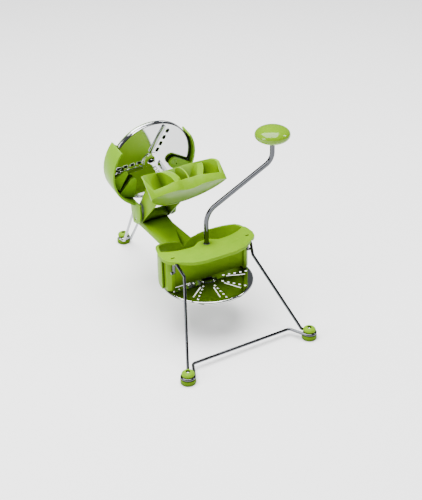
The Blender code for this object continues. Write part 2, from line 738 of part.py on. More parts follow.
def rear_leg_wire():
    """One bent wire doubled round the rear foot, both ends in the arm's socket block."""
    start = (-REAR_WIRE_X, ARM_END - ARM_BLOCK_LENGTH + ARM_WALL + SEAT_GAP, REAR_WIRE_Z)
    down = (-REAR_WIRE_X, REAR_WIRE_BEND_Y, REAR_WIRE_Z)
    lead = (-REAR_LEAD_X, REAR_FOOT_REACH - REAR_FOOT_LEAD, WIRE_Z)
    touch = tangent_angle((-REAR_LEAD_X, -REAR_FOOT_LEAD), WIRE_LOOP_RADIUS, -1)
    loop = [Vector((x, y, WIRE_Z)) for x, y in
            arc_points(WIRE_LOOP_RADIUS, touch, -math.pi - touch, LOOP_STEPS, (0, REAR_FOOT_REACH))]
    half = bent_path([start, down, lead, loop[0]], WIRE_BEND)[:-1]
    return wire("rear_leg_wire", half + loop + [Vector(p) for p in mirrored(half)], WIRE_RADIUS,
                WIRE_RESOLUTION)


def feet():
    """Each foot is a pad with a neck, a domed cap over the wire and a screw through both."""
    places = (("left", (-FRONT_FOOT_X, -FRONT_FOOT_REACH)), ("right", (FRONT_FOOT_X, -FRONT_FOOT_REACH)),
              ("rear", (0, REAR_FOOT_REACH)))
    cap_low = FOOT_BASE_HEIGHT + SEAT_GAP + 2 * WIRE_RADIUS + WIRE_PLAY
    neck_top = cap_low - SEAT_GAP
    bore = FOOT_SCREW_RADIUS + SEAT_GAP
    screw_low = FOOT_BASE_HEIGHT / 2
    dimple_low = FOOT_HEIGHT - FOOT_DIMPLE_DEPTH
    pads, caps, screws = [], [], []
    for name, centre in places:
        pads.append(turned(f"foot_pad_{name}", [
            (bore, screw_low - SEAT_GAP), (bore, neck_top), (FOOT_NECK_RADIUS, neck_top),
            (FOOT_NECK_RADIUS, FOOT_BASE_HEIGHT), (FOOT_RADIUS - FOOT_ROUNDING, FOOT_BASE_HEIGHT),
            (FOOT_RADIUS, FOOT_BASE_HEIGHT - FOOT_ROUNDING), (FOOT_RADIUS, FOOT_ROUNDING),
            (FOOT_RADIUS - FOOT_ROUNDING, 0), (0, 0), (0, screw_low - SEAT_GAP)],
            centre, SMALL_SEGMENTS))
        dome = [(FOOT_CAP_RADIUS * math.cos(math.radians(a)),
                 cap_low + FOOT_ROUNDING + (FOOT_HEIGHT - cap_low - FOOT_ROUNDING) * math.sin(math.radians(a)))
                for a in (0, 26, 52)]
        dimple_radius = FOOT_SCREW_HEAD + SEAT_GAP
        caps.append(turned(f"foot_cap_{name}", [(bore, cap_low), (FOOT_CAP_RADIUS - FOOT_ROUNDING / 2, cap_low)]
                           + dome + [(dimple_radius, FOOT_HEIGHT - FOOT_ROUNDING / 4),
                                     (dimple_radius, dimple_low), (bore, dimple_low)],
                           centre, SMALL_SEGMENTS))
        head_top = dimple_low + FOOT_DIMPLE_DEPTH / 2
        screws.append(turned(f"foot_screw_{name}", [
            (0, screw_low), (FOOT_SCREW_RADIUS, screw_low), (FOOT_SCREW_RADIUS, dimple_low + SEAT_GAP),
            (FOOT_SCREW_HEAD, dimple_low + SEAT_GAP), (FOOT_SCREW_HEAD, head_top), (0, head_top)],
            centre, COARSE_SEGMENTS))
    return pads, caps, screws


def crank_rod():
    """Bent round rod whose flattened lower end drives the disc."""
    reach = Vector((math.cos(CRANK_TURN), math.sin(CRANK_TURN), 0)) * CRANK_THROW
    low_end = MOUNTED_DISC_TOP + DISC_HUB_HEIGHT + SEAT_GAP
    top = KNOB_CENTRE + KNOB_HEIGHT / 2 - KNOB_HEIGHT / 4
    lower = bent_path([(0, 0, low_end), (0, 0, ROD_BEND),
                       (reach.x, reach.y, CRANK_UPPER_BEND)], LOWER_BEND_RADIUS)
    upper = bent_path([(0, 0, ROD_BEND), (reach.x, reach.y, CRANK_UPPER_BEND),
                       (reach.x, reach.y, top)], UPPER_BEND_RADIUS)
    body = wire("crank_rod", lower[:-1] + upper[1:], ROD_RADIUS, ROD_RESOLUTION)
    tang = box("tang", (-TANG_LENGTH / 2, -TANG_WIDTH / 2, TANG_END),
               (TANG_LENGTH / 2, TANG_WIDTH / 2, low_end + JOINT_OVERLAP))
    return join(body, tang)


def crank_collar():
    low = MOUNTED_DISC_TOP + DISC_HUB_HEIGHT + JOINT_OVERLAP + 2 * SEAT_GAP
    high = FRONT_WALL_BOTTOM - SEAT_GAP
    inner = ROD_RADIUS + SEAT_GAP
    return turned("crank_collar", [(inner, low), (COLLAR_RADIUS, low), (COLLAR_RADIUS, high), (inner, high)],
                  segments=SMALL_SEGMENTS)


def tang_hole(low, high, centre=(0, 0)):
    return box("tang_hole", (centre[0] - SLOT_LENGTH / 2, centre[1] - SLOT_WIDTH / 2, low),
               (centre[0] + SLOT_LENGTH / 2, centre[1] + SLOT_WIDTH / 2, high))


def disc_lock():
    """Grip under the disc that holds it up on the crank's flattened end."""
    high = MOUNTED_DISC_TOP - DISC_THICKNESS - SEAT_GAP
    low = high - LOCK_HEIGHT
    body = cylinder("disc_lock", LOCK_RADIUS, low, high, segments=COARSE_SEGMENTS)
    return cut(body, tang_hole(low - OVERRUN, high + OVERRUN))


def disc_blank(name, face, centre_y):
    """Flat disc whose rim is turned down from its upper face."""
    back = face - DISC_THICKNESS
    rim = face - DISC_RIM_DEPTH
    hole = DISC_HUB_RADIUS - HUB_WALL
    inner = DISC_RADIUS - DISC_THICKNESS
    profile = [(hole, face), (inner, face), (DISC_RADIUS, back), (DISC_RADIUS, rim), (inner, rim),
               (inner, back), (hole, back)]
    return turned(name, profile, (0, centre_y))


def disc_hub(name, face, centre_y, way):
    """Hub raised above or below the disc, with a flange and an oblong hole for the crank."""
    near, far = (face, face - DISC_THICKNESS) if way > 0 else (face - DISC_THICKNESS, face)
    low, high = sorted((far, near + way * DISC_HUB_HEIGHT))
    seat, edge = sorted((near + way * SEAT_GAP, near + way * (SEAT_GAP + HUB_FLANGE)))
    body = cylinder(name, DISC_HUB_RADIUS - HUB_WALL - SEAT_GAP, low, high, (0, centre_y))
    join(body, cylinder("flange", DISC_HUB_RADIUS, seat, edge, (0, centre_y)))
    return cut(body, tang_hole(low - OVERRUN, high + OVERRUN, (0, centre_y)))


def slab(name, inner, outer, low_side, high_side, turn, centre_y, low, high):
    """A bar along a radius, turned about the disc's centre."""
    corners = ((inner, low_side), (outer, low_side), (outer, high_side), (inner, high_side))
    outline = [(x * math.cos(turn) - y * math.sin(turn), centre_y + x * math.sin(turn) + y * math.cos(turn))
               for x, y in corners]
    return prism(name, outline, low, high)


def grater_cutters(face, centre_y, rows, holes):
    cutters = []
    for row in range(rows):
        turn = GRATER_FIRST_TURN + math.tau * row / rows
        for i in range(holes):
            radius = GRATER_FIRST_RADIUS + (i + GRATER_HOLES - holes) * GRATER_PITCH
            centre = (radius * math.cos(turn), centre_y + radius * math.sin(turn))
            cutters.append(cylinder("hole", GRATER_HOLE_RADIUS, face - OVERRUN, face + OVERRUN,
                                    centre, segments=HOLE_SEGMENTS))
        cutters.append(slab("cut", CUT_FIRST_RADIUS, CUT_FIRST_RADIUS + CUT_LENGTH, -CUT_WIDTH / 2,
                            CUT_WIDTH / 2, turn + CUT_TURN, centre_y, face - OVERRUN, face + OVERRUN))
    return cutters


def shredding_disc():
    body = disc_blank("shredding_disc", MOUNTED_DISC_TOP, 0)
    return cut(body, *grater_cutters(MOUNTED_DISC_TOP, 0, GRATER_ROWS, GRATER_HOLES))


def grating_disc():
    body = disc_blank("grating_disc", REAR_DISC_FACE, HOLDER_CENTRE_Y)
    return cut(body, *grater_cutters(REAR_DISC_FACE, HOLDER_CENTRE_Y, GRATER_ROWS - BLADE_COUNT, STORED_HOLES))


def blade_turns():
    return [BLADE_FIRST_TURN + math.tau * i / BLADE_COUNT for i in range(BLADE_COUNT)]


def slicing_disc():
    """A long slot under each blade, and a row of short slots on its other side."""
    body = disc_blank("slicing_disc", FRONT_DISC_FACE, HOLDER_CENTRE_Y)
    low, high = FRONT_DISC_FACE - OVERRUN, FRONT_DISC_FACE + OVERRUN
    slots = []
    for turn in blade_turns():
        slots.append(slab("slot", BLADE_INNER_RADIUS + OVERRUN, BLADE_INNER_RADIUS + BLADE_LENGTH - OVERRUN,
                          -BLADE_OFFSET - BLADE_SLOT_WIDTH, BLADE_SLOT_SHOW - BLADE_OFFSET, turn,
                          HOLDER_CENTRE_Y, low, high))
        for i in range(TOOTH_HOLES):
            inner = BLADE_INNER_RADIUS + TOOTH_HOLE_START + i * TOOTH_HOLE_PITCH
            slots.append(slab("tooth_slot", inner, inner + TOOTH_HOLE_LENGTH,
                              TOOTH_HOLE_OFFSET - TOOTH_HOLE_WIDTH / 2,
                              TOOTH_HOLE_OFFSET + TOOTH_HOLE_WIDTH / 2, turn, HOLDER_CENTRE_Y, low, high))
    return cut(body, *slots)


def slicing_blades():
    """Straight blades that lie in the slicing disc and cover most of its long slots."""
    high = FRONT_DISC_FACE - DISC_THICKNESS - SEAT_GAP
    return [slab(f"slicing_blade_{i + 1}", BLADE_INNER_RADIUS, BLADE_INNER_RADIUS + BLADE_LENGTH,
                 -BLADE_OFFSET - BLADE_WIDTH, -BLADE_OFFSET, turn, HOLDER_CENTRE_Y,
                 high - BLADE_THICKNESS, high) for i, turn in enumerate(blade_turns())]


def between(table, place):
    """A table's value at a place, in straight steps from row to row."""
    for (low, value), (high, following) in zip(table, table[1:]):
        if place <= high:
            return value + (following - value) * max(0.0, place - low) / (high - low)
    return table[-1][1]


def pusher_rim(angle):
    from_side = min(angle, math.pi - angle) / (math.pi / 2)
    return PUSHER_LIP_TOP + (PUSHER_TOP - PUSHER_LIP_TOP) * between(PUSHER_RIM_SHARES, from_side)


def pusher_lip(x):
    """The front lip's top, which bulges up round the crank."""
    return PUSHER_LIP_TOP + PUSHER_LIP_RISE * math.exp(-(x / PUSHER_LIP_SPAN) ** 2)


def pusher_edge(x):
    return opening_edge(x) + PUSHER_FRONT_GAP


def pusher_rings(inset):
    """The half-moon's outline at an inset: its arc from right to left, then its front edge back."""
    radius = PUSHER_RADIUS - inset
    start = math.asin((pusher_edge(PUSHER_RADIUS) + inset) / radius)
    shares = [share - PUSHER_CROWDING * math.sin(math.tau * share) / math.tau
              for share in spread(0, 1, RIM_STEPS)]
    angles = [start + (math.pi - 2 * start) * share for share in shares]
    arc = [(radius * math.cos(angle), radius * math.sin(angle)) for angle in angles]
    reach = arc[0][0]
    edge = [(x, pusher_edge(x) + inset) for x in spread(-reach, reach, LIP_STEPS)[1:-1]]
    tops = [pusher_rim(angle) for angle in angles] + [pusher_lip(x) for x, y in edge]
    return arc + edge, tops


def food_pusher():
    """Half-moon scoop with ribs, and the channel-shaped lever that carries it, moulded in one."""
    outer, tops = pusher_rings(0)
    inner, tops = pusher_rings(PUSHER_WALL)
    body = loft("food_pusher", [[(*out, PUSHER_BOTTOM), (*out, top), (*inward, top), (*inward, PUSHER_BOTTOM)]
                                for out, inward, top in zip(outer, inner, tops)], closed=True)
    floor_outline, tops = pusher_rings(PUSHER_WALL / 2)
    floor = prism("floor", floor_outline, PUSHER_BOTTOM + PUSHER_STEP, PUSHER_BOTTOM + PUSHER_FLOOR)
    join(body, floor)
    join(body, *pusher_ribs())
    join(body, lever_channel())
    return cut(body, cross_cylinder("pin_bore", PIN_RADIUS + SEAT_GAP, -LEVER_HALF_WIDTH - OVERRUN,
                                    LEVER_HALF_WIDTH + OVERRUN))


def rib(name, x, wall, lean):
    """A leaning rib from the lip up to the back wall, trimmed to the half-moon's outline."""
    low = PUSHER_BOTTOM + PUSHER_FLOOR / 2
    lip_x = x + lean * (PUSHER_LIP_TOP + PUSHER_LIP_RISE - low)
    front = pusher_edge(lip_x) + PUSHER_WALL / 2
    lip = pusher_lip(lip_x) - PUSHER_STEP
    top = pusher_rim(math.acos((x + lean * (PUSHER_TOP - low)) / PUSHER_RADIUS)) - JOINT_OVERLAP
    back = math.sqrt(PUSHER_RADIUS ** 2 - (x + lean * (top - low)) ** 2) - PUSHER_WALL
    outline = [(PUSHER_RADIUS, low), (0, low), (0, lip)]
    for turn in spread(0, math.pi / 2, RIB_STEPS):
        outline.append((front + (back - front) * (1 - math.cos(turn) ** RIB_FULLNESS),
                        lip + (top - lip) * math.sin(turn) ** RIB_FULLNESS))
    outline.append((PUSHER_RADIUS, top))
    made = loft(name, [[(side + lean * (z - low), y, z) for y, z in outline]
                       for side in (x - wall / 2, x + wall / 2)])
    inside, tops = pusher_rings(PUSHER_WALL / 2)
    return combine(made, "INTERSECT", [prism("inside", inside, PUSHER_BOTTOM, PUSHER_TOP)])


def pusher_ribs():
    return [rib("left_rib", LEFT_RIB_X, LEFT_RIB_WALL, 0),
            rib("middle_rib", MIDDLE_RIB_X, MIDDLE_RIB_WALL, MIDDLE_RIB_LEAN),
            rib("right_rib", RIGHT_RIB_X, RIGHT_RIB_WALL, RIGHT_RIB_LEAN)]


def lever_channel():
    """Two side plates that straddle the arm, under one roof."""
    eye = [(HINGE_Y + LEVER_EYE_RADIUS * math.cos(math.radians(a)),
            HINGE_Z + LEVER_EYE_RADIUS * math.sin(math.radians(a))) for a in range(-90, 91, 20)]
    front = LEVER_FRONT
    outline = [(front, LEVER_HIGH), (LEVER_STEP - LEVER_STEP_RUN, LEVER_HIGH),
               (LEVER_STEP, LEVER_LOW)] + eye + [(LEVER_ROOF_END, LEVER_ROOF_TOP),
                     (front, PUSHER_TOP - PUSHER_STEP)]
    body = side_prism("channel", outline, -LEVER_HALF_WIDTH, LEVER_HALF_WIDTH)
    inner = LEVER_HALF_WIDTH - LEVER_WALL
    roof = [(PUSHER_RADIUS, LEVER_LOW - OVERRUN), (HINGE_Y + LEVER_EYE_RADIUS + OVERRUN, LEVER_LOW - OVERRUN),
            (HINGE_Y + LEVER_EYE_RADIUS + OVERRUN, LEVER_ROOF_TOP + OVERRUN),
            (LEVER_ROOF_END, LEVER_ROOF_TOP + OVERRUN), (LEVER_ROOF_END, LEVER_ROOF_TOP - LEVER_WALL),
            (PUSHER_RADIUS, PUSHER_TOP - LEVER_WALL)]
    scoop = cylinder("scoop", PUSHER_RADIUS - PUSHER_WALL / 2, 0, 2 * PUSHER_TOP, segments=FINE_SEGMENTS)
    return cut(body, side_prism("hollow", roof, -inner, inner), scoop)


def holder_wall(gap_angle, front, side):
    """A side wall with a ledge behind the discs, which carries the back plate."""
    ledge = HOLDER_INNER - HOLDER_LEDGE
    ledge_high = HOLDER_BACK + HOLDER_BACK_THICKNESS
    high = HOLDER_BACK + HOLDER_WALL_REACH
    profile = ((HOLDER_INNER, front), (HOLDER_OUTER, front), (HOLDER_OUTER, high), (HOLDER_INNER, high),
               (HOLDER_INNER, ledge_high), (ledge, ledge_high), (ledge, HOLDER_BACK),
               (HOLDER_INNER, HOLDER_BACK))
    angles = spread(-gap_angle, math.acos(HOLDER_REAR_HALF_GAP / HOLDER_OUTER), HOLDER_STEPS)
    return loft("wall", around(HOLDER_CENTRE_Y, lambda angle: profile, angles, side))


def holder_back():
    """The back plate behind the spare discs, with a finger hole."""
    low = HOLDER_BACK + PUSHER_STEP
    high = HOLDER_BACK + HOLDER_BACK_THICKNESS - PUSHER_STEP
    outer = HOLDER_INNER - HOLDER_LEDGE / 2
    return turned("disc_holder", [(HOLDER_GRIP_RADIUS, low), (outer, low), (outer, high),
                                  (HOLDER_GRIP_RADIUS, high)], (0, HOLDER_CENTRE_Y))


def holder_ear(side):
    """A plate from the holder's wall down round the hinge pin."""
    wall_y = HOLDER_CENTRE_Y + math.sqrt(HOLDER_OUTER ** 2 - EAR_OUTER ** 2) - HOLDER_WALL
    high = HOLDER_BACK - PUSHER_STEP
    outline = [(wall_y, TAB_HEIGHT)]
    outline += [(HINGE_Y + along * EAR_REACH, HINGE_Z + up * EAR_REACH) for along, up in EAR_SHARES]
    outline += [(wall_y + HOLDER_WALL, high), (wall_y, high)]
    inner, outer = sorted((side * (EAR_OUTER - EAR_WALL), side * EAR_OUTER))
    return side_prism("ear", outline, inner, outer)


def holder_tab(root, tip, width, tip_radius):
    """A tapered finger with a round tip that keeps the discs in, trimmed to the wall."""
    root, tip = Vector(root), Vector(tip)
    along = (tip - root).normalized()
    across = Vector((-along.y, along.x))
    heading = math.atan2(along.y, along.x)
    outline = [root + across * width / 2, root - across * width / 2]
    outline += [tip + tip_radius * Vector((math.cos(heading + turn), math.sin(heading + turn)))
                for turn in spread(-math.pi / 2, math.pi / 2, TIP_STEPS)]
    made = prism("tab", outline, TAB_HEIGHT, TAB_HEIGHT + TAB_THICKNESS)
    inside = cylinder("inside", HOLDER_OUTER - HOLDER_WALL / 2, 0, 2 * TAB_HEIGHT, (0, HOLDER_CENTRE_Y),
                      segments=FINE_SEGMENTS)
    return combine(made, "INTERSECT", [inside])


def disc_holder():
    """Open cup that stores two spare discs, with two ears on the hinge pin."""
    body = holder_back()
    tabs = [holder_tab(LEFT_TAB_ROOT, LEFT_TAB_TIP, LEFT_TAB_WIDTH, LEFT_TAB_ROUND),
            holder_tab(REAR_TAB_ROOT, REAR_TAB_TIP, REAR_TAB_WIDTH, REAR_TAB_ROUND),
            holder_tab(RIGHT_TAB_ROOT, RIGHT_TAB_TIP, RIGHT_TAB_WIDTH, RIGHT_TAB_ROUND)]
    join(body, holder_wall(LEFT_GAP_ANGLE, LEFT_WALL_FRONT, -1),
         holder_wall(RIGHT_GAP_ANGLE, RIGHT_WALL_FRONT, 1))
    join(body, holder_ear(1), holder_ear(-1), *tabs)
    return cut(body, cross_cylinder("pin_bore", PIN_RADIUS + SEAT_GAP, -EAR_OUTER - OVERRUN,
                                    EAR_OUTER + OVERRUN))


def crank_knob():
    """Flattened round knob with a flat underside and a blind bore."""
    x = CRANK_THROW * math.cos(CRANK_TURN)
    y = CRANK_THROW * math.sin(CRANK_TURN)
    bore = ROD_RADIUS + KNOB_LINER_WALL + 2 * SEAT_GAP
    low = KNOB_CENTRE - KNOB_HEIGHT / 2
    outline = []
    for turn in spread(-math.pi / 2, math.pi / 2, KNOB_STEPS):
        radius = KNOB_RADIUS * abs(math.cos(turn)) ** KNOB_FULLNESS
        if radius > KNOB_BASE_RADIUS or turn > 0:
            outline.append((radius, KNOB_CENTRE + KNOB_HEIGHT / 2 * math.sin(turn)))
    outline[-1] = (0, KNOB_CENTRE + KNOB_HEIGHT / 2)
    roof = KNOB_CENTRE + KNOB_HEIGHT / 4 + SEAT_GAP
    profile = [(bore, low), (KNOB_BASE_RADIUS, low)] + outline + [(0, roof), (bore, roof)]
    return turned("crank_knob", profile, (x, y), KNOB_SEGMENTS)


def knob_liner():
    x = CRANK_THROW * math.cos(CRANK_TURN)
    y = CRANK_THROW * math.sin(CRANK_TURN)
    inner = ROD_RADIUS + SEAT_GAP
    outer = inner + KNOB_LINER_WALL
    low = KNOB_CENTRE - KNOB_HEIGHT / 2
    high = low + KNOB_LINER_LENGTH
    return turned("knob_liner", [(inner, low), (outer, low), (outer, high), (inner, high)], (x, y),
                  SMALL_SEGMENTS)


def build():
    clear_scene()
    green = material("moulded_green", (0.36, 0.62, 0.03), 0.28, 0.0)
    pale = material("pale_green", (0.45, 0.66, 0.16), 0.35, 0.0)
    steel = material("polished_steel", (0.72, 0.73, 0.74), 0.12, 1.0)
    black = material("black_bush", (0.02, 0.02, 0.02), 0.45, 0.0)
    stand = empty("stand_origin", (0, DRIVE_Y, 0))
    hinge = (0, HINGE_Y, HINGE_Z)
    pusher_pivot = empty("pusher_pivot", hinge, stand, -PUSHER_OPEN)
    holder_pivot = empty("holder_pivot", hinge, stand, -HOLDER_OPEN)

    finish(feed_hopper(), green, stand)
    finish(support_arm(), green, stand)
    finish(crank_bush(), black, stand)
    finish(hinge_pin(), steel, stand)
    finish(front_leg_wire(), steel, stand)
    finish(rear_leg_wire(), steel, stand)
    pads, caps, screws = feet()
    for piece in pads + caps:
        finish(piece, green, stand)
    for screw in screws:
        finish(screw, steel, stand)

    finish(crank_rod(), steel, stand)
    finish(crank_collar(), black, stand)
    finish(shredding_disc(), steel, stand)
    finish(disc_hub("shredding_disc_hub", MOUNTED_DISC_TOP, 0, 1), steel, stand)
    finish(disc_lock(), green, stand)
    finish(crank_knob(), green, stand)
    finish(knob_liner(), black, stand)

    finish(hang_on(food_pusher(), hinge), green, pusher_pivot)
    finish(hang_on(disc_holder(), hinge), pale, holder_pivot)
    finish(hang_on(slicing_disc(), hinge), steel, holder_pivot)
    finish(hang_on(disc_hub("slicing_disc_hub", FRONT_DISC_FACE, HOLDER_CENTRE_Y, -1), hinge), steel,
           holder_pivot)
    for blade in slicing_blades():
        finish(hang_on(blade, hinge), steel, holder_pivot)
    finish(hang_on(grating_disc(), hinge), steel, holder_pivot)
    finish(hang_on(disc_hub("grating_disc_hub", REAR_DISC_FACE, HOLDER_CENTRE_Y, -1), hinge), steel,
           holder_pivot)


build()
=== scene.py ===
"""Looks of the food mill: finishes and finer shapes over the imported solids, a pale floor and soft light."""

import math

import bmesh
import bpy
from mathutils import Matrix, Vector


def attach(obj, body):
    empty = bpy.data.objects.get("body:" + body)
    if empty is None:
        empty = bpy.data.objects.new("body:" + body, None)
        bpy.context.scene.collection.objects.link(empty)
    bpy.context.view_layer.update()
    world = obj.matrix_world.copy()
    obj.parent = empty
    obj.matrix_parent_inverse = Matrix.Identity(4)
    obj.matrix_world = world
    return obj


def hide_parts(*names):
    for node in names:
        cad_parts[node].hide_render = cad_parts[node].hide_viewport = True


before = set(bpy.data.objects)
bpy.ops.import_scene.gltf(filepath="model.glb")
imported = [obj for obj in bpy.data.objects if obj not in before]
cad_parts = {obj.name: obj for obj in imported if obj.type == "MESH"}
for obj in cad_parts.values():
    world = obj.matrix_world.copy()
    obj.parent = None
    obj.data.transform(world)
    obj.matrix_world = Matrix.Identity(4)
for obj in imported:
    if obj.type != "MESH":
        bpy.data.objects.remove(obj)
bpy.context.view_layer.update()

MM = 0.001


def mm(*lengths):
    """Lengths in millimetres, as metres."""
    return [length * MM for length in lengths]


# Places that the solids give
DRIVE = Vector((0.0, -76.9, 0.0)) * MM
HINGE = Vector((0.0, 76.6, 98.8)) * MM
HOLDER_OPEN = math.radians(78.0)
HOLDER_CENTRE = Vector((0.0, 70.5, 0.0)) * MM
MOUNTED_FACE, SLICING_FACE, GRATING_FACE = mm(69.0, 117.8, 122.1)


def swung(angle):
    """Turns what is laid out shut, about the crank's axis, to its raised place in the row's frame."""
    return (Matrix.Translation(HINGE) @ Matrix.Rotation(-angle, 4, "X")
            @ Matrix.Translation(DRIVE - HINGE))


STILL = Matrix.Identity(4)
AT_DRIVE = Matrix.Translation(DRIVE)
ON_MOUNT = AT_DRIVE @ Matrix.Translation((0, 0, MOUNTED_FACE))
IN_HOLDER = swung(HOLDER_OPEN) @ Matrix.Translation(HOLDER_CENTRE)
ON_SLICER = IN_HOLDER @ Matrix.Translation((0, 0, SLICING_FACE))
ON_GRATER = IN_HOLDER @ Matrix.Translation((0, 0, GRATING_FACE))


# Node building

class Value:
    """One socket of a node tree, which takes part in sums as a number would."""

    def __init__(self, maker, socket):
        self.maker, self.socket = maker, socket

    def sum(self, operation, *parts):
        return self.maker.add("ShaderNodeMath", {"operation": operation}, dict(enumerate(parts)))

    def __add__(self, other):
        return self.sum("ADD", self, other)

    def __mul__(self, other):
        return self.sum("MULTIPLY", self, other)

    def __sub__(self, other):
        return self.sum("SUBTRACT", self, other)

    def __rsub__(self, other):
        return self.sum("SUBTRACT", other, self)

    def __truediv__(self, other):
        return self.sum("DIVIDE", self, other)

    def __pow__(self, other):
        return self.sum("POWER", self, other)

    __radd__ = __add__
    __rmul__ = __mul__

    def floor(self):
        return self.sum("FLOOR", self)

    def sine(self):
        return self.sum("SINE", self)

    def cosine(self):
        return self.sum("COSINE", self)

    def root(self):
        return self.sum("SQRT", self)

    def at_least(self, other):
        return self.sum("MAXIMUM", self, other)

    def above(self, other):
        return self.sum("GREATER_THAN", self, other)

    def below(self, other):
        return self.sum("LESS_THAN", self, other)


class Maker:
    """Adds nodes to one tree."""

    def __init__(self, tree):
        self.tree = tree

    def node(self, kind, settings=None, inputs=None):
        made = self.tree.nodes.new(kind)
        for name, value in (settings or {}).items():
            setattr(made, name, value)
        self.feed(made, inputs or {})
        return made

    def feed(self, node, inputs):
        """Links or sets a node's sockets."""
        for key, value in inputs.items():
            if isinstance(value, Value):
                self.tree.links.new(value.socket, node.inputs[key])
            else:
                node.inputs[key].default_value = value

    def add(self, kind, settings=None, inputs=None, output=0):
        return Value(self, self.node(kind, settings, inputs).outputs[output])

    def ramp(self, factor, stops):
        """Grey levels that follow the factor; each stop is a place and a level."""
        made = self.node("ShaderNodeValToRGB", None, {"Fac": factor})
        elements = made.color_ramp.elements
        while len(elements) < len(stops):
            elements.new(0.5)
        for element, (place, level) in zip(elements, stops):
            element.position = place
            element.color = (level, level, level, 1.0)
        return Value(self, made.outputs["Color"])

    def blend(self, factor, first, second):
        made = self.node("ShaderNodeMix", {"data_type": "RGBA"}, {"Factor": factor, 6: first, 7: second})
        return Value(self, made.outputs[2])

    def noise(self, place, scale, detail=2.0, roughness=0.5):
        return self.add("ShaderNodeTexNoise", None,
                        {"Vector": place, "Scale": scale, "Detail": detail, "Roughness": roughness})

    def mapped(self, place, **inputs):
        return self.add("ShaderNodeMapping", None, {"Vector": place, **inputs})

    def bump(self, strength, distance, height):
        return self.add("ShaderNodeBump", None,
                        {"Strength": strength, "Distance": distance, "Height": height})


def finish_of(name):
    """A new material with its maker, its shader and the object's own coordinates."""
    material = bpy.data.materials.new(name)
    material.use_nodes = True
    maker = Maker(material.node_tree)
    shader = material.node_tree.nodes["Principled BSDF"]
    place = maker.add("ShaderNodeTexCoord", output="Object")
    return material, maker, shader, place


def shade(colour, gain=1.0, lift=0.0):
    """A colour made lighter or darker, with its alpha."""
    return (*[min(1.0, c * gain + lift) for c in colour], 1.0)


# Finishes

HOLLOW_SHADE_REACH, EDGE_HIGHLIGHT_REACH = mm(20.0, 1.1)
RIM_START, BORE_END, RIM_LINES_DEPTH = mm(60.2, 4.35, 5.0)
# Painted shadow: grey stops for dark lines along the curled rim, and the near-black colour used for them and
# for the bore.
RIM_SHADOW_STOPS = [(0.0, 0), (0.16, 0), (0.2, 1), (0.3, 1), (0.36, 0), (0.6, 0), (0.68, 1)]
SCRATCH_STOPS = [(0.0, 0), (0.66, 0), (0.74, 1)]
BORE_AND_RIM_SHADOW = (0.02, 0.02, 0.022, 1.0)


def moulded_plastic(name, deep, bright, roughness, coat=0.02):
    """Glossy moulding: slow changes of tone, painted shade in hollows, painted highlights on edges, grain,
    marks and scratches.
    """
    material, maker, shader, place = finish_of(name)
    tone = maker.noise(place, 26.0, 3.0)
    flow = maker.noise(maker.mapped(place, Scale=(1.0, 1.0, 0.25)), 70.0, 2.0)
    marks = maker.noise(place, 190.0, 6.0, 0.7)
    smears = maker.noise(place, 38.0, 4.0, 0.6)
    grain = maker.noise(place, 2600.0, 2.0)
    scratch_place = maker.mapped(place, Rotation=(0.3, 0.5, 0.7), Scale=(60.0, 1400.0, 240.0))
    scratches = maker.ramp(maker.noise(scratch_place, 1.0, 2.0), SCRATCH_STOPS)
    body = maker.blend(tone * 0.8 + flow * 0.35 - 0.1, shade(deep), shade(bright))
    worn = maker.blend((marks - 0.56).at_least(0.0) * 1.4, body, shade(bright, 1.25, 0.02))
    # Painted shade: ambient occlusion darkens hollows, creases and inner corners toward a dark copy of the
    # deep green.
    hollow_shade_ao = maker.add("ShaderNodeAmbientOcclusion", {"samples": 8}, {"Distance": HOLLOW_SHADE_REACH}, "AO")
    # Painted highlight: occlusion inside the solid finds narrow edges, which are lightened toward a pale
    # green as if catching the light.
    edge_highlight_ao = maker.add("ShaderNodeAmbientOcclusion", {"samples": 8, "inside": True},
                     {"Distance": EDGE_HIGHLIGHT_REACH}, "AO")
    with_painted_hollow_shade = maker.blend(hollow_shade_ao ** 2.0, shade(deep, 0.22), worn)
    with_painted_edge_highlight = maker.blend((0.85 - edge_highlight_ao).at_least(0.0) * 1.3, with_painted_hollow_shade, shade(bright, 1.7, 0.05))
    maker.feed(shader, {
        "Base Color": with_painted_edge_highlight, "Roughness": (smears - 0.45).at_least(0.0) * 0.2 + scratches * 0.08 + roughness,
        "Normal": maker.bump(0.06, 0.12 * MM, grain * 0.8 + scratches * 0.5 + marks * 0.6),
        "IOR": 1.32, "Specular IOR Level": 0.1, "Coat Weight": coat, "Coat Roughness": 0.07,
        "Subsurface Weight": 0.1, "Subsurface Radius": (0.6, 1.0, 0.1), "Subsurface Scale": 4.0 * MM})
    return material


def drawn_steel(name, tint, roughness):
    """Drawn and plated wire: fine lengthwise lines, slight dulling and pin-head specks."""
    material, maker, shader, place = finish_of(name)
    lines = maker.noise(maker.mapped(place, Scale=(1.0, 1.0, 0.12)), 1500.0, 3.0)
    dull = maker.noise(place, 45.0, 4.0, 0.6)
    specks = maker.noise(place, 900.0, 2.0)
    maker.feed(shader, {
        "Base Color": maker.blend((dull - 0.4).at_least(0.0) * 1.2, shade(tint), shade(tint, 0.82)),
        "Roughness": (dull - 0.45).at_least(0.0) * 0.3 + roughness, "Metallic": 1.0,
        "Normal": maker.bump(0.12, 0.06 * MM, lines * 0.7 + specks * 0.3)})
    return material


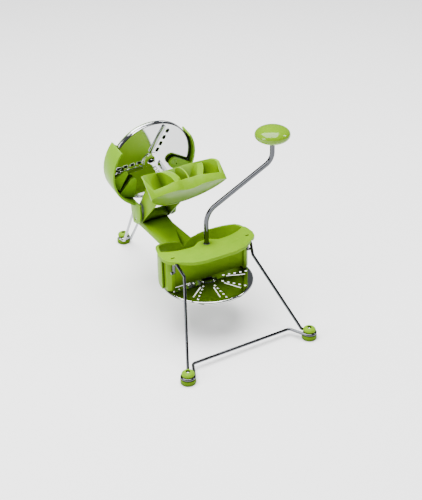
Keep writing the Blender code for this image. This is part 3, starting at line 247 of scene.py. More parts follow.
def polished_sheet(name, tint, matrix, roughness):
    """Mirror-bright sheet with polishing rings about the disc's middle, with painted shadow in its bore and
    in lines along its curled rim.
    """
    material, maker, shader, place = finish_of(name)
    back = matrix.inverted()
    local = maker.mapped(place, Location=tuple(back.to_translation()), Rotation=tuple(back.to_euler("XYZ")))
    split = maker.node("ShaderNodeSeparateXYZ", None, {"Vector": local})
    x, y, depth = (Value(maker, split.outputs[axis]) for axis in "XYZ")
    radius = (x * x + y * y).root()
    rings = maker.noise(maker.add("ShaderNodeCombineXYZ", None, {"X": radius * 5200.0}), 1.0, 3.0)
    haze = maker.noise(place, 60.0, 4.0, 0.6)
    marks = maker.noise(place, 420.0, 5.0, 0.7)
    clean = maker.blend((haze - 0.45).at_least(0.0), shade(tint), shade(tint, 0.86))
    # Painted shadow: dark lines on the curled rim and a dark patch in the bore.
    rim_fold_shadow = radius.above(RIM_START) * maker.ramp(depth * (-1.0 / RIM_LINES_DEPTH), RIM_SHADOW_STOPS)
    maker.feed(shader, {
        "Base Color": maker.blend(rim_fold_shadow + radius.below(BORE_END), clean, BORE_AND_RIM_SHADOW),
        "Roughness": (haze - 0.5).at_least(0.0) * 0.25 + rings * 0.04 + roughness, "Metallic": 1.0,
        "Normal": maker.bump(0.05, 0.05 * MM, rings * 0.6 + marks * 0.4)})
    return material


def black_nylon(name):
    """Matt black plastic with a fine grain and rubbed patches."""
    material, maker, shader, place = finish_of(name)
    grain = maker.noise(place, 1800.0, 4.0, 0.6)
    rub = maker.noise(place, 300.0, 3.0)
    maker.feed(shader, {
        "Base Color": maker.blend((rub - 0.5).at_least(0.0) * 1.5, (0.012, 0.012, 0.013, 1.0),
                                  (0.05, 0.05, 0.052, 1.0)),
        "Roughness": grain * 0.3 + 0.32, "Normal": maker.bump(0.25, 0.1 * MM, grain)})
    return material


def pale_floor():
    """Pale paper with a slight tooth, lifted a little by its own glow."""
    material, maker, shader, place = finish_of("floor_paper")
    colour = maker.blend(maker.noise(place, 3.0, 2.0) * 0.4, (0.84, 0.84, 0.84, 1.0), (0.81, 0.81, 0.81, 1.0))
    maker.feed(shader, {
        "Base Color": colour, "Roughness": 0.75, "Emission Color": colour, "Emission Strength": 0.25,
        "Normal": maker.bump(0.03, 0.2 * MM, maker.noise(place, 220.0, 5.0))})
    return material


LIME = moulded_plastic("lime_moulding", (0.095, 0.215, 0.0), (0.165, 0.31, 0.0), 0.38)
GRIP_LIME = moulded_plastic("grip_moulding", (0.09, 0.2, 0.0), (0.15, 0.28, 0.0), 0.16, 0.6)
PALE_LIME = moulded_plastic("pale_lime_moulding", (0.105, 0.24, 0.003), (0.175, 0.345, 0.01), 0.3)
WIRE = drawn_steel("bright_wire", (0.38, 0.39, 0.41), 0.05)
# Painted shade: the crank rod and front legs take a much darker copy of the same drawn steel as the bright
# wire.
SHADED_ROD_STEEL = drawn_steel("shaded_copy_of_wire", (0.08, 0.083, 0.09), 0.06)
# Painted shade: the mounted disc takes a darker copy of the stored discs' polished steel.
SHADED_MOUNTED_STEEL = polished_sheet("mounted_disc_steel_shaded", (0.5, 0.51, 0.5), ON_MOUNT, 0.06)
STORED_STEEL = polished_sheet("stored_disc_steel", (0.7, 0.71, 0.72), ON_SLICER, 0.05)
BLACK = black_nylon("black_nylon")


# Mesh building

MERGE, COPY_MERGE = mm(0.002, 0.003)
SAME_FLAT = math.radians(0.6)
NEARLY_STRAIGHT = math.radians(88.0)


def new_mesh(shape, name):
    bmesh.ops.remove_doubles(shape, verts=shape.verts, dist=MERGE)
    bmesh.ops.recalc_face_normals(shape, faces=shape.faces)
    return plain_mesh(shape, name)


def plain_mesh(shape, name):
    mesh = bpy.data.meshes.new(name)
    shape.to_mesh(mesh)
    shape.free()
    return mesh


def baked(thing):
    """The thing with its modifiers applied to its mesh."""
    evaluated = thing.evaluated_get(bpy.context.evaluated_depsgraph_get())
    mesh = bpy.data.meshes.new_from_object(evaluated)
    thing.modifiers.clear()
    thing.data = mesh
    return thing


def placed(name, mesh):
    thing = bpy.data.objects.new(name, mesh)
    bpy.context.scene.collection.objects.link(thing)
    return thing


def piece(thing, finish, body, slot, *nodes, angle=38.0):
    """Makes a finished mesh one of the object's pieces."""
    thing.data.materials.clear()
    thing.data.materials.append(finish)
    thing.data.shade_smooth()
    thing.data.set_sharp_from_angle(angle=math.radians(angle))
    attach(thing, body)
    if nodes:
        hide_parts(*nodes)
    return thing


def rounded(thing, width, segments=3, angle=28.0):
    bevel = thing.modifiers.new("rounding", "BEVEL")
    bevel.width = width
    bevel.segments = segments
    bevel.limit_method = "ANGLE"
    bevel.angle_limit = math.radians(angle)
    bevel.use_clamp_overlap = True
    return baked(thing)


def eased_copy(node, name, width):
    """A copy of a solid with its triangles joined to whole faces and its edges rounded."""
    shape = bmesh.new()
    shape.from_mesh(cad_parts[node].data)
    bmesh.ops.remove_doubles(shape, verts=shape.verts, dist=COPY_MERGE)
    bmesh.ops.dissolve_limit(shape, angle_limit=SAME_FLAT, verts=shape.verts, edges=shape.edges)
    return rounded(placed(name, plain_mesh(shape, name)), width, segments=2, angle=30.0)


def carved(thing, tools, operation="DIFFERENCE"):
    """Cuts the tools out of a thing, or unites them with it, and removes them."""
    for tool in tools:
        step = thing.modifiers.new("carving", "BOOLEAN")
        step.operation, step.object = operation, tool
    baked(thing)
    for tool in tools:
        bpy.data.objects.remove(tool)
    return thing


def turned(name, profile, matrix, segments=72):
    """Turns a closed profile of radius and height about its upright axis, then places it."""
    shape = bmesh.new()
    rings = []
    for i in range(segments):
        angle = math.tau * i / segments
        rings.append([shape.verts.new(matrix @ Vector((r * math.cos(angle), r * math.sin(angle), z)))
                      for r, z in profile])
    count = len(profile)
    for i in range(segments):
        here, there = rings[i], rings[(i + 1) % segments]
        for j in range(count):
            k = (j + 1) % count
            shape.faces.new((here[j], there[j], there[k], here[k]))
    bmesh.ops.remove_doubles(shape, verts=shape.verts, dist=MERGE)
    bmesh.ops.dissolve_degenerate(shape, edges=shape.edges, dist=MERGE)
    loose = [edge for edge in shape.edges if not edge.link_faces]
    bmesh.ops.delete(shape, geom=loose, context="EDGES")
    return placed(name, new_mesh(shape, name))


def prism(name, outline, low, high, matrix):
    shape = bmesh.new()
    bottom = [shape.verts.new(matrix @ Vector((x, y, low))) for x, y in outline]
    top = [shape.verts.new(matrix @ Vector((x, y, high))) for x, y in outline]
    shape.faces.new(bottom[::-1])
    shape.faces.new(top)
    for i in range(len(outline)):
        j = (i + 1) % len(outline)
        shape.faces.new((bottom[i], bottom[j], top[j], top[i]))
    return placed(name, new_mesh(shape, name))


def rectangle(left, right, low, high):
    return [(left, low), (right, low), (right, high), (left, high)]


def spread(start, end, steps):
    return [start + (end - start) * i / steps for i in range(steps + 1)]


def arc(centre, radius, start, end, steps):
    """Points of an arc in a profile, angles in degrees."""
    return [(centre[0] + radius * math.cos(math.radians(angle)),
             centre[1] + radius * math.sin(math.radians(angle))) for angle in spread(start, end, steps)]


def bent_path(points, radius, steps=10):
    """Rounds a route's corners with arcs of one radius, or less where the route is short."""
    route = [Vector(point) for point in points]
    path = [route[0]]
    for before, corner, after in zip(route, route[1:], route[2:]):
        back, ahead = (before - corner).normalized(), (after - corner).normalized()
        half = back.angle(ahead) / 2
        if half > NEARLY_STRAIGHT:
            path.append(corner)
            continue
        reach = min(radius / math.tan(half), (before - corner).length / 2, (after - corner).length / 2)
        bend = reach * math.tan(half)
        centre = corner + (back + ahead).normalized() * (bend / math.sin(half))
        start, end = corner + back * reach - centre, corner + ahead * reach - centre
        sweep = start.angle(end)
        for share in spread(0, 1, steps):
            turn = math.sin((1 - share) * sweep) * start + math.sin(share * sweep) * end
            path.append(centre + turn / math.sin(sweep))
    path.append(route[-1])
    return path


def joined(name, things):
    """One object made of several meshes; the others are removed."""
    whole = bmesh.new()
    for thing in things:
        whole.from_mesh(thing.data)
        bpy.data.objects.remove(thing)
    return placed(name, plain_mesh(whole, name))


# Geometry Nodes

CUTTER_DEPTH = 12.0 * MM
HOLE_SIDES = 14
COUNT_EASE = 0.001


def shape_tree(name, inputs):
    """A new tree with a geometry input and output and the named inputs."""
    tree = bpy.data.node_groups.new(name, "GeometryNodeTree")
    tree.interface.new_socket("Geometry", in_out="INPUT", socket_type="NodeSocketGeometry")
    for label, kind in inputs.items():
        tree.interface.new_socket(label, in_out="INPUT", socket_type=f"NodeSocket{kind}")
    tree.interface.new_socket("Geometry", in_out="OUTPUT", socket_type="NodeSocketGeometry")
    maker = Maker(tree)
    entry = maker.node("NodeGroupInput")
    return tree, maker, {label: Value(maker, entry.outputs[label]) for label in ["Geometry", *inputs]}


def close_tree(maker, geometry, material):
    whole = maker.add("GeometryNodeRealizeInstances", None, {"Geometry": geometry})
    dressed = maker.add("GeometryNodeSetMaterial", None, {"Geometry": whole, "Material": material})
    maker.node("NodeGroupOutput", None, {"Geometry": dressed})


def shaped(thing, tree, values):
    """Runs a tree on a thing and leaves its plain mesh."""
    modifier = thing.modifiers.new("shape", "NODES")
    modifier.node_group = tree
    for item in tree.interface.items_tree:
        if item.item_type == "SOCKET" and item.in_out == "INPUT" and item.name in values:
            modifier[item.identifier] = values[item.name]
    return baked(thing)


def sweep_tree():
    """A round bar along a path of edges."""
    tree, maker, given = shape_tree("round_bar", {"Radius": "Float", "Sides": "Int", "Finish": "Material"})
    path = maker.add("GeometryNodeMeshToCurve", None, {"Mesh": given["Geometry"]})
    ring = maker.add("GeometryNodeCurvePrimitiveCircle", None,
                     {"Resolution": given["Sides"], "Radius": given["Radius"]})
    bar = maker.add("GeometryNodeCurveToMesh", None,
                    {"Curve": path, "Profile Curve": ring, "Fill Caps": True})
    close_tree(maker, bar, given["Finish"])
    return tree


def punch_tree():
    """Rows of round holes and long cuts through a disc, with a raised lip behind each hole."""
    tree, maker, given = shape_tree("punched_disc", {
        "Rows": "Int", "Holes": "Int", "First Radius": "Float", "Pitch": "Float", "Hole Radius": "Float",
        "First Turn": "Float", "Cut Radius": "Float", "Cut Length": "Float", "Cut Width": "Float",
        "Cut Turn": "Float", "Lip": "Object", "Finish": "Material"})
    index = maker.add("GeometryNodeInputIndex")

    def at(radius, turn):
        return maker.add("ShaderNodeCombineXYZ", None,
                         {"X": radius * turn.cosine(), "Y": radius * turn.sine()})

    def facing(turn):
        return maker.add("ShaderNodeCombineXYZ", None, {"Z": turn})

    row = (index / given["Holes"] + COUNT_EASE).floor()
    place = index - row * given["Holes"]
    turn = given["First Turn"] + row * math.tau / given["Rows"]
    radius = given["First Radius"] + place * given["Pitch"]
    hole_spots = maker.add("GeometryNodePoints", None, {"Count": given["Rows"] * given["Holes"],
                                                        "Position": at(radius, turn)})
    cutter = maker.add("GeometryNodeMeshCylinder", None, {
        "Vertices": HOLE_SIDES, "Radius": given["Hole Radius"], "Depth": CUTTER_DEPTH})
    holes = maker.add("GeometryNodeInstanceOnPoints", None, {"Points": hole_spots, "Instance": cutter})
    row_turn = given["First Turn"] + given["Cut Turn"] + index * math.tau / given["Rows"]
    cut_spots = maker.add("GeometryNodePoints", None, {
        "Count": given["Rows"], "Position": at(given["Cut Radius"] + given["Cut Length"] * 0.5, row_turn)})
    bar_size = maker.add("ShaderNodeCombineXYZ", None, {"X": given["Cut Length"], "Y": given["Cut Width"],
                                                        "Z": CUTTER_DEPTH})
    bar = maker.add("GeometryNodeMeshCube", None, {"Size": bar_size})
    cuts = maker.add("GeometryNodeInstanceOnPoints", None, {"Points": cut_spots, "Instance": bar,
                                                            "Rotation": facing(row_turn)})
    punched = maker.node("GeometryNodeMeshBoolean", {"operation": "DIFFERENCE"},
                         {"Mesh 1": given["Geometry"]})
    for cutters in (holes, cuts):
        maker.tree.links.new(cutters.socket, punched.inputs["Mesh 2"])
    lip_shape = maker.add("GeometryNodeObjectInfo", None, {"Object": given["Lip"]}, output="Geometry")
    lips = maker.add("GeometryNodeInstanceOnPoints", None, {"Points": hole_spots, "Instance": lip_shape,
                                                            "Rotation": facing(turn)})
    both = maker.node("GeometryNodeJoinGeometry")
    for part in (Value(maker, punched.outputs["Mesh"]), lips):
        maker.tree.links.new(part.socket, both.inputs["Geometry"])
    close_tree(maker, Value(maker, both.outputs["Geometry"]), given["Finish"])
    return tree


def copies_tree():
    """The same small part at each of a mesh's points."""
    tree, maker, given = shape_tree("same_part_at_points", {"Part": "Object", "Finish": "Material"})
    part = maker.add("GeometryNodeObjectInfo", None, {"Object": given["Part"]}, output="Geometry")
    copies = maker.add("GeometryNodeInstanceOnPoints", None, {"Points": given["Geometry"], "Instance": part})
    close_tree(maker, copies, given["Finish"])
    return tree


ROUND_BAR = sweep_tree()
PUNCHED_DISC = punch_tree()
SAME_PART = copies_tree()


def bar_along(name, path, radius, sides=20, closed=False):
    """A round bar along a path, or a ring where the path is closed."""
    shape = bmesh.new()
    points = [shape.verts.new(point) for point in path]
    for here, there in zip(points, points[1:] + points[:1] if closed else points[1:]):
        shape.edges.new((here, there))
    thing = shaped(placed(name, plain_mesh(shape, name)), ROUND_BAR,
                   {"Radius": radius, "Sides": sides, "Finish": WIRE})
    merged = bmesh.new()
    merged.from_mesh(thing.data)
    thing.data = new_mesh(merged, name)
    return thing


def at_points(name, points, part, finish):
    mesh = bpy.data.meshes.new(name)
    mesh.from_pydata([tuple(point) for point in points], [], [])
    thing = shaped(placed(name, mesh), SAME_PART, {"Part": part, "Finish": finish})
    bpy.data.objects.remove(part)
    return thing


# Stand

FEET = [DRIVE + Vector(spot) * MM for spot in ((-93.6, -108.7, 0), (93.6, -108.7, 0), (0, 262.5, 0))]
WIRE_RADIUS, WIRE_Z, LOOP_RADIUS, LEG_BEND = mm(2.0, 9.1, 8.2, 6.0)


def tangent(corner, way):
    return math.atan2(corner[1], corner[0]) + way * math.acos(LOOP_RADIUS / math.hypot(*corner))


def loop_points(foot, start, end, steps=30):
    return [Vector((foot.x + LOOP_RADIUS * math.cos(a), foot.y + LOOP_RADIUS * math.sin(a), WIRE_Z))
            for a in spread(start, end, steps)]


def mirrored(points):
    return [Vector((-point.x, point.y, point.z)) for point in reversed(points)]


def front_wire():
    """Two hooks under the plate, two legs that loop round their feet, and the bar between them."""
    foot = FEET[0] + Vector((0, 0, WIRE_Z))
    hook_end, hook_x, knee_x = mm(-61.2, -56.8, -52.5)
    hook_y, plate_y, knee_y = mm(-11.8, -19.3, -31.7)
    top, knee_z, hook_drop, lead = mm(118.2, 104.4, 17.0, 11.0)
    lead_turn = math.radians(62.0)
    approach = (lead * math.cos(lead_turn), lead * math.sin(lead_turn))
    tail = tuple(mm(18.6, 20.7))
    loop = loop_points(foot, tangent(approach, 1), tangent(tail, -1) + math.tau)
    hook = [Vector((x, y, z)) + Vector((0, DRIVE.y, 0)) for x, y, z in (
        (hook_end, hook_y, top - hook_drop), (hook_x, hook_y, top - hook_drop), (hook_x, hook_y, top),
        (hook_x, plate_y, top), (knee_x, knee_y, knee_z))]
    leg = bent_path(hook + [foot + Vector((*approach, 0)), loop[0]], LEG_BEND)
    bar = bent_path([loop[-1], foot + Vector((*tail, 0)), Vector((0, foot.y + tail[1], WIRE_Z))], LEG_BEND)
    half = leg[:-1] + loop[:-1] + bar[:-1]
    return bar_along("front_leg_bend", half + [bar[-1]] + mirrored(half), WIRE_RADIUS)


def rear_wire():
    """From one side of the arm's socket down, round the rear foot and back up to the other side."""
    foot = FEET[2]
    lead = tuple(mm(-5.5, -13.5))
    start = tangent(lead, -1)
    loop = loop_points(foot, start, -math.pi - start)
    socket = [Vector((-9.5, y, 85.5)) * MM + DRIVE for y in (151.0, 200.0)]
    half = bent_path(socket + [foot + Vector((*lead, WIRE_Z)), loop[0]], LEG_BEND)[:-1]
    return bar_along("rear_leg_bend", half + loop + mirrored(half), WIRE_RADIUS)


def foot_pad():
    """A rounded pad with a neck inside the wire's loop and a hole for the screw."""
    radius, neck, base, ease, fillet = mm(10.28, 5.9, 6.8, 1.4, 0.5)
    neck_top, bore, bore_floor = mm(11.1, 1.8, 3.2)
    return turned("pad", [(0, 0)] + arc((radius - ease, ease), ease, -90, 0, 5)
                  + arc((radius - ease, base - ease), ease, 0, 90, 5)
                  + [(neck + fillet, base)] + arc((neck + fillet, base + fillet), fillet, 270, 180, 3)
                  + [(neck, neck_top), (bore, neck_top), (bore, bore_floor), (0, bore_floor)], STILL)


def foot_cap():
    """A domed cap over the wire's loop, with a seat for the screw's head."""
    radius, low, high, dome_start = mm(8.6, 11.55, 17.55, 1.4)
    bore, seat, mouth, ease = mm(1.8, 3.0, 3.2, 1.0)
    dome = [(radius * math.cos(a) ** 0.8, low + dome_start + (high - low - dome_start) * math.sin(a))
            for a in spread(0.0, 1.12, 10)]
    return turned("cap", [(bore, low), (radius - ease, low)]
                  + arc((radius - ease, low + ease), ease, -90, 0, 4) + dome
                  + [(mouth, high - 0.25 * MM), (seat, high - 0.5 * MM), (seat, high - 2.1 * MM),
                     (bore, high - 2.1 * MM)], STILL)


def foot_screw():
    """A pan-headed screw with a cross cut into its head."""
    shank, start, head, seat, crown_z, crown = mm(1.35, 3.5, 2.6, 15.8, 16.0, 0.8)
    screw = turned("head", [(0, start), (shank, start), (shank, seat), (head, seat)]
                   + [(head * math.cos(a), crown_z + crown * math.sin(a)) for a in spread(0.0, 1.5, 6)]
                   + [(0, crown_z + crown)], STILL, 32)
    reach, half, cut_low, cut_high = mm(1.5, 0.25, 16.2, 18.0)
    for turn in (0.0, math.pi / 2):
        carved(screw, [prism("slot", rectangle(-reach, reach, -half, half), cut_low, cut_high,
                             Matrix.Rotation(turn, 4, "Z"))])
    return screw


def feet():
    """Pads, caps and screws: one of each is made and set at all three feet."""
    for name, part, finish, slot, node in (
            ("foot_pads", foot_pad(), LIME, "green_plastic", "foot_pad"),
            ("foot_caps", foot_cap(), LIME, "green_plastic", "foot_cap"),
            ("foot_screw_heads", foot_screw(), WIRE, "steel_wire", "foot_screw")):
        piece(at_points(name, FEET, part, finish), finish, "stand", slot,
              *[f"{node}_{side}" for side in ("left", "right", "rear")])


def bush():
    inner, outer, edge, low, high, edge_z, top = mm(3.62, 4.55, 4.15, 101.0, 122.75, 122.78, 123.18)
    return turned("bush_ring", [(inner, low), (outer, low), (outer, high)]
                  + arc((edge, edge_z), 0.4 * MM, 0, 90, 4) + [(inner, top)], AT_DRIVE, 48)


def pin():
    half, end, radius, ease = mm(28.8, 1.5, 1.97, 0.45)
    along_x = Matrix.Translation(HINGE) @ Matrix.Rotation(math.pi / 2, 4, "Y")
    return turned("hinge_pin_turned", [(0, -half), (end, -half), (radius, -half + ease),
                                       (radius, half - ease), (end, half), (0, half)], along_x, 32)


def stand():
    piece(eased_copy("feed_hopper", "hopper_moulding", 0.55 * MM), LIME, "stand", "green_plastic",
          "feed_hopper")
    piece(eased_copy("support_arm", "arm_moulding", 0.8 * MM), LIME, "stand", "green_plastic", "support_arm")
    piece(front_wire(), SHADED_ROD_STEEL, "stand", "steel_wire", "front_leg_wire")
    piece(rear_wire(), WIRE, "stand", "steel_wire", "rear_leg_wire")
    feet()
    piece(bush(), BLACK, "stand", "black_plastic", "crank_bush")
    piece(pin(), WIRE, "stand", "steel_wire", "hinge_pin")


# Crank and knob

CRANK_TURN = math.radians(-33.5)
THROW, KNOB_Z = mm(85.8, 280.0)
GRIP = DRIVE + Vector((THROW * math.cos(CRANK_TURN), THROW * math.sin(CRANK_TURN), 0))
ON_GRIP = Matrix.Translation(GRIP)


def crank_rod():
    """The bent rod, with a flat tang at its foot that drives the disc."""
    radius, lower_bend, upper_bend = mm(3.27, 38.0, 24.0)
    base_z, bend_z, upper_z, top_z = mm(70.8, 168.0, 245.5, 285.0)
    base, bend = DRIVE + Vector((0, 0, base_z)), DRIVE + Vector((0, 0, bend_z))
    upper, top = GRIP + Vector((0, 0, upper_z)), GRIP + Vector((0, 0, top_z))
    path = (bent_path([base, bend, upper], lower_bend, 16)[:-1]
            + bent_path([bend, upper, top], upper_bend, 16)[1:])
    wide, thick, tang_low, tang_high = mm(4.15, 1.95, 57.6, 71.8)
    tang = prism("tang", rectangle(-wide, wide, -thick, thick), tang_low, tang_high, AT_DRIVE)
    return carved(bar_along("crank_bar", path, radius, 32), [tang], "UNION")


def collar():
    inner, outer, edge, low, low_z, high_z, high = mm(3.65, 5.6, 0.5, 72.25, 72.75, 73.15, 73.65)
    return turned("drive_collar", [(inner, low), (outer, low)] + arc((outer, low_z), edge, -90, 0, 4)
                  + arc((outer, high_z), edge, 0, 90, 4) + [(inner, high)], AT_DRIVE, 48)


def crank():
    piece(crank_rod(), SHADED_ROD_STEEL, "crank", "steel_wire", "crank_rod")
    piece(collar(), BLACK, "crank", "black_plastic", "crank_collar")
    # Painted shade: the drive hub takes the darker wire steel instead of the discs' polished steel, to dim
    # its reflection.
    piece(eased_copy("shredding_disc_hub", "drive_hub", 0.25 * MM), WIRE, "crank", "steel_sheet",
          "shredding_disc_hub")
    piece(eased_copy("disc_lock", "lock_grip", 0.6 * MM), LIME, "crank", "green_plastic", "disc_lock")
    piece(perforated("shredder_sheet", ON_MOUNT, 9, SHADED_MOUNTED_STEEL), SHADED_MOUNTED_STEEL, "crank", "steel_sheet",
          "shredding_disc", angle=30.0)


def knob():
    """Flattened round knob with a soft parting line, and the liner in its bore."""
    radius, height, bore, base, ease, roof_rise, groove_depth = mm(22.85, 20.5, 5.4, 11.0, 0.5, 5.5, 0.12)
    low, high, roof = KNOB_Z - height / 2, KNOB_Z + height / 2, KNOB_Z + roof_rise
    skin = []
    for a in spread(-math.pi / 2, math.pi / 2, 44):
        out = radius * abs(math.cos(a)) ** 0.8
        if out > base or a > 0:
            skin.append((out - groove_depth * math.exp(-(a / 0.03) ** 2), KNOB_Z + height / 2 * math.sin(a)))
    skin[-1] = (0, high)
    profile = ([(bore, low + ease), (bore + ease, low), (base - 0.8 * MM, low)] + skin
               + [(0, roof), (bore, roof)])
    piece(turned("knob_grip", profile, ON_GRIP, 96), GRIP_LIME, "knob", "green_plastic", "crank_knob",
          angle=50.0)
    inner, foot, mouth, start, end = mm(3.65, 4.6, 4.65, 0.1, 12.4)
    sleeve = [(inner, low + start), (foot, low + start), (mouth, low + end), (inner, low + end)]
    piece(turned("knob_sleeve", sleeve, ON_GRIP, 48), BLACK, "knob", "black_plastic", "knob_liner")


# Discs

DISC_RADIUS, SHEET, RIM_DEPTH, HUB_HOLE = mm(62.45, 0.8, 3.95, 11.45)
PUNCHING = {"Holes": 5, "First Radius": 22.6 * MM, "Pitch": 8.1 * MM, "First Turn": math.radians(-13.0),
            "Cut Radius": 26.0 * MM, "Cut Length": 26.0 * MM, "Cut Turn": math.radians(-8.5),
            "Hole Radius": 1.85 * MM, "Cut Width": 1.7 * MM}
BLADE_TURNS = [math.radians(-63.0) + math.tau * i / 3 for i in range(3)]
LONG_CUT = (15.5, 53.5, -8.8, -4.5)
SHORT_CUTS = [(15.1 + i * 10.5, 21.6 + i * 10.5, -0.4, 3.6) for i in range(4)]
SLICER_CUTS = [LONG_CUT] + SHORT_CUTS


def disc_profile():
    """Section of a pressed disc: hub hole, flat web and a curled rim."""
    web, shoulder, curl = mm(58.6, 1.6, 0.75)
    top = ([(HUB_HOLE, 0), (web, 0), (DISC_RADIUS - shoulder, 0)]
           + arc((DISC_RADIUS - shoulder, -shoulder), shoulder, 80, 0, 6))
    edge = arc((DISC_RADIUS - curl, -RIM_DEPTH + curl), curl, 0, -180, 8)
    inner = ([(DISC_RADIUS - 1.5 * MM, -2.0 * MM)]
             + arc((DISC_RADIUS - 2.2 * MM, -shoulder), 0.8 * MM, 0, 80, 4))
    return top + edge + inner + [(HUB_HOLE, -SHEET)]


def raised_lip():
    """A small half-dome of sheet that stands over one side of a punched hole."""
    radius, back, base, rise, wall = mm(2.1, 0.2, 0.1, 1.05, 0.3)
    shape = bmesh.new()
    rings = []
    for tilt in spread(0.0, 1.35, 4):
        rings.append([shape.verts.new((radius * math.cos(tilt) * math.sin(a),
                                       -back + radius * math.cos(tilt) * math.cos(a),
                                       -base + rise * math.sin(tilt)))
                      for a in spread(-math.pi / 2, math.pi / 2, 8)])
    for low, high in zip(rings, rings[1:]):
        for a, b, c, d in zip(low, low[1:], high[1:], high):
            shape.faces.new((a, b, c, d))
    lip = placed("raised_lip", new_mesh(shape, "raised_lip"))
    sheet = lip.modifiers.new("wall", "SOLIDIFY")
    sheet.thickness, sheet.offset = wall, -1.0
    return baked(lip)


def perforated(name, matrix, rows, finish):
    """A pressed disc with its rows of holes, cuts and raised lips, set in its place."""
    lip = raised_lip()
    disc = turned(name, disc_profile(), STILL, 120)
    shaped(disc, PUNCHED_DISC, {"Rows": rows, "Lip": lip, "Finish": finish, **PUNCHING})
    bpy.data.objects.remove(lip)
    disc.data.transform(matrix)
    return disc


def hem_path(inner, outer, low, high, turn):
    """A ring round one cut, on the side that the blades are on."""
    ease, proud, depth = 0.9, 0.3, -0.95
    corners = [(inner + ease, low - proud), (outer - ease, low - proud), (outer + proud, low + ease),
               (outer + proud, high - ease), (outer - ease, high + proud), (inner + ease, high + proud),
               (inner - proud, high - ease), (inner - proud, low + ease)]
    return [Matrix.Rotation(turn, 4, "Z") @ Vector((x * MM, y * MM, depth * MM)) for x, y in corners]


def slicer():
    """The slicing disc: a long cut before each blade and short cuts on its other side, all hemmed."""
    disc = turned("slicer_sheet", disc_profile(), STILL, 120)
    carved(disc, [prism("cut", rectangle(*mm(*cut)), *mm(-4.0, 3.0), Matrix.Rotation(turn, 4, "Z"))
                  for turn in BLADE_TURNS for cut in SLICER_CUTS])
    hems = [bar_along("hem", hem_path(*cut, turn), 0.42 * MM, 8, True)
            for turn in BLADE_TURNS for cut in SLICER_CUTS]
    disc = joined("slicer_sheet", [disc] + hems)
    disc.data.transform(ON_SLICER)
    return disc


def blades():
    """Straight blades across the slicing disc, with one outer corner taken off."""
    inner, outer, low, high, corner, corner_rise = mm(12.5, 56.5, -10.6, -5.4, 2.0, 1.2)
    outline = [(inner, low), (outer - corner, low), (outer, low + corner_rise), (outer, high), (inner, high)]
    for i, turn in enumerate(BLADE_TURNS):
        blade = prism(f"straight_blade_{i + 1}", outline, *mm(-2.48, -1.2),
                      ON_SLICER @ Matrix.Rotation(turn, 4, "Z"))
        piece(rounded(blade, 0.3 * MM, 2), WIRE, "holder", "steel_sheet", f"slicing_blade_{i + 1}")


# Pusher and disc holder

def holder():
    """The holder's copy, with a small round recess in its right tab."""
    depth_low, depth_high, radius, tab_x, tab_y = mm(108.7, 110.4, 1.5, 38.5, 82.9)
    dimple = turned("dimple", [(0, depth_low), (radius, depth_low), (radius, depth_high), (0, depth_high)],
                    swung(HOLDER_OPEN) @ Matrix.Translation((tab_x, tab_y, 0)), 24)
    return carved(eased_copy("disc_holder", "holder_moulding", 0.6 * MM), [dimple])


def lever_parts():
    piece(eased_copy("food_pusher", "pusher_moulding", 0.5 * MM), LIME, "pusher", "green_plastic",
          "food_pusher")
    piece(holder(), PALE_LIME, "holder", "pale_green_plastic", "disc_holder")
    piece(slicer(), STORED_STEEL, "holder", "steel_sheet", "slicing_disc", angle=30.0)
    piece(perforated("grater_sheet", ON_GRATER, 6, STORED_STEEL), STORED_STEEL, "holder", "steel_sheet",
          "grating_disc", angle=30.0)
    blades()
    for node, name in (("slicing_disc_hub", "slicer_hub"), ("grating_disc_hub", "grater_hub")):
        piece(eased_copy(node, name, 0.25 * MM), STORED_STEEL, "holder", "steel_sheet", node)


# Studio

MIDDLE = (0, 0, 0.12)
FLOOR_HALF = 9.0
FLOOR_DROP = 0.1 * MM
SKY_COLOUR, SKY_STRENGTH = (0.9, 0.94, 1.0, 1.0), 0.16


def softbox(name, place, size, watts):
    """A soft rectangular light that faces the middle of the object."""
    light = bpy.data.lights.new(name, "AREA")
    light.shape, light.size, light.size_y = "RECTANGLE", *size
    light.energy = watts
    made = placed(name, light)
    made.location = place
    made.rotation_euler = (Vector(MIDDLE) - Vector(place)).to_track_quat("-Z", "Y").to_euler()


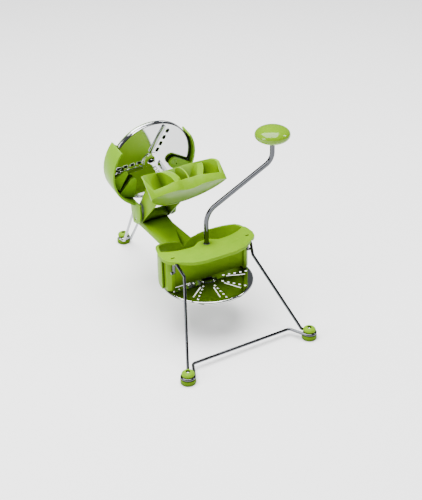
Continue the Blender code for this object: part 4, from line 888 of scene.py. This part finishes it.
def studio():
    shape = bmesh.new()
    bmesh.ops.create_grid(shape, x_segments=1, y_segments=1, size=FLOOR_HALF)
    floor = placed("studio_floor", new_mesh(shape, "studio_floor"))
    floor.data.materials.append(pale_floor())
    floor.location = (0, 0, -FLOOR_DROP)
    world = bpy.data.worlds.new("studio")
    world.use_nodes = True
    sky = world.node_tree.nodes["Background"].inputs
    sky["Color"].default_value, sky["Strength"].default_value = SKY_COLOUR, SKY_STRENGTH
    bpy.context.scene.world = world
    softbox("left_softbox", (-1.7, -0.1, 0.8), (0.7, 1.0), 24.0)
    softbox("right_softbox", (1.3, -0.6, 1.2), (0.3, 0.5), 9.0)
    softbox("top_softbox", (-0.2, 0.1, 2.4), (2.4, 2.4), 260.0)


# The photograph's camera, found by matching its view of the disc, feet and legs
CAMERA_YAW, CAMERA_PITCH, CAMERA_ROLL = (math.radians(angle) for angle in (29.99, 29.94, -1.2336))
CAMERA_PLACE = Vector((-602.1, -1054.6, 811.6)) * MM + DRIVE
SENSOR_HEIGHT, FOCAL_LENGTH = 24.0, 50.4


def camera():
    """Stands where the photograph was taken from, with its roll and its angle of view."""
    ahead = Vector((math.sin(CAMERA_YAW) * math.cos(CAMERA_PITCH),
                    math.cos(CAMERA_YAW) * math.cos(CAMERA_PITCH), -math.sin(CAMERA_PITCH)))
    level = Vector((math.cos(CAMERA_YAW), -math.sin(CAMERA_YAW), 0))
    above = level.cross(ahead)
    right = math.cos(CAMERA_ROLL) * level + math.sin(CAMERA_ROLL) * above
    up = math.cos(CAMERA_ROLL) * above - math.sin(CAMERA_ROLL) * level
    lens = bpy.data.cameras.new("photograph_view")
    lens.sensor_fit = "VERTICAL"
    lens.sensor_height, lens.lens = SENSOR_HEIGHT, FOCAL_LENGTH
    made = placed("photograph_view", lens)
    made.matrix_world = Matrix.Translation(CAMERA_PLACE) @ Matrix((right, up, -ahead)).transposed().to_4x4()
    bpy.context.scene.camera = made


stand()
crank()
knob()
lever_parts()
studio()
camera()
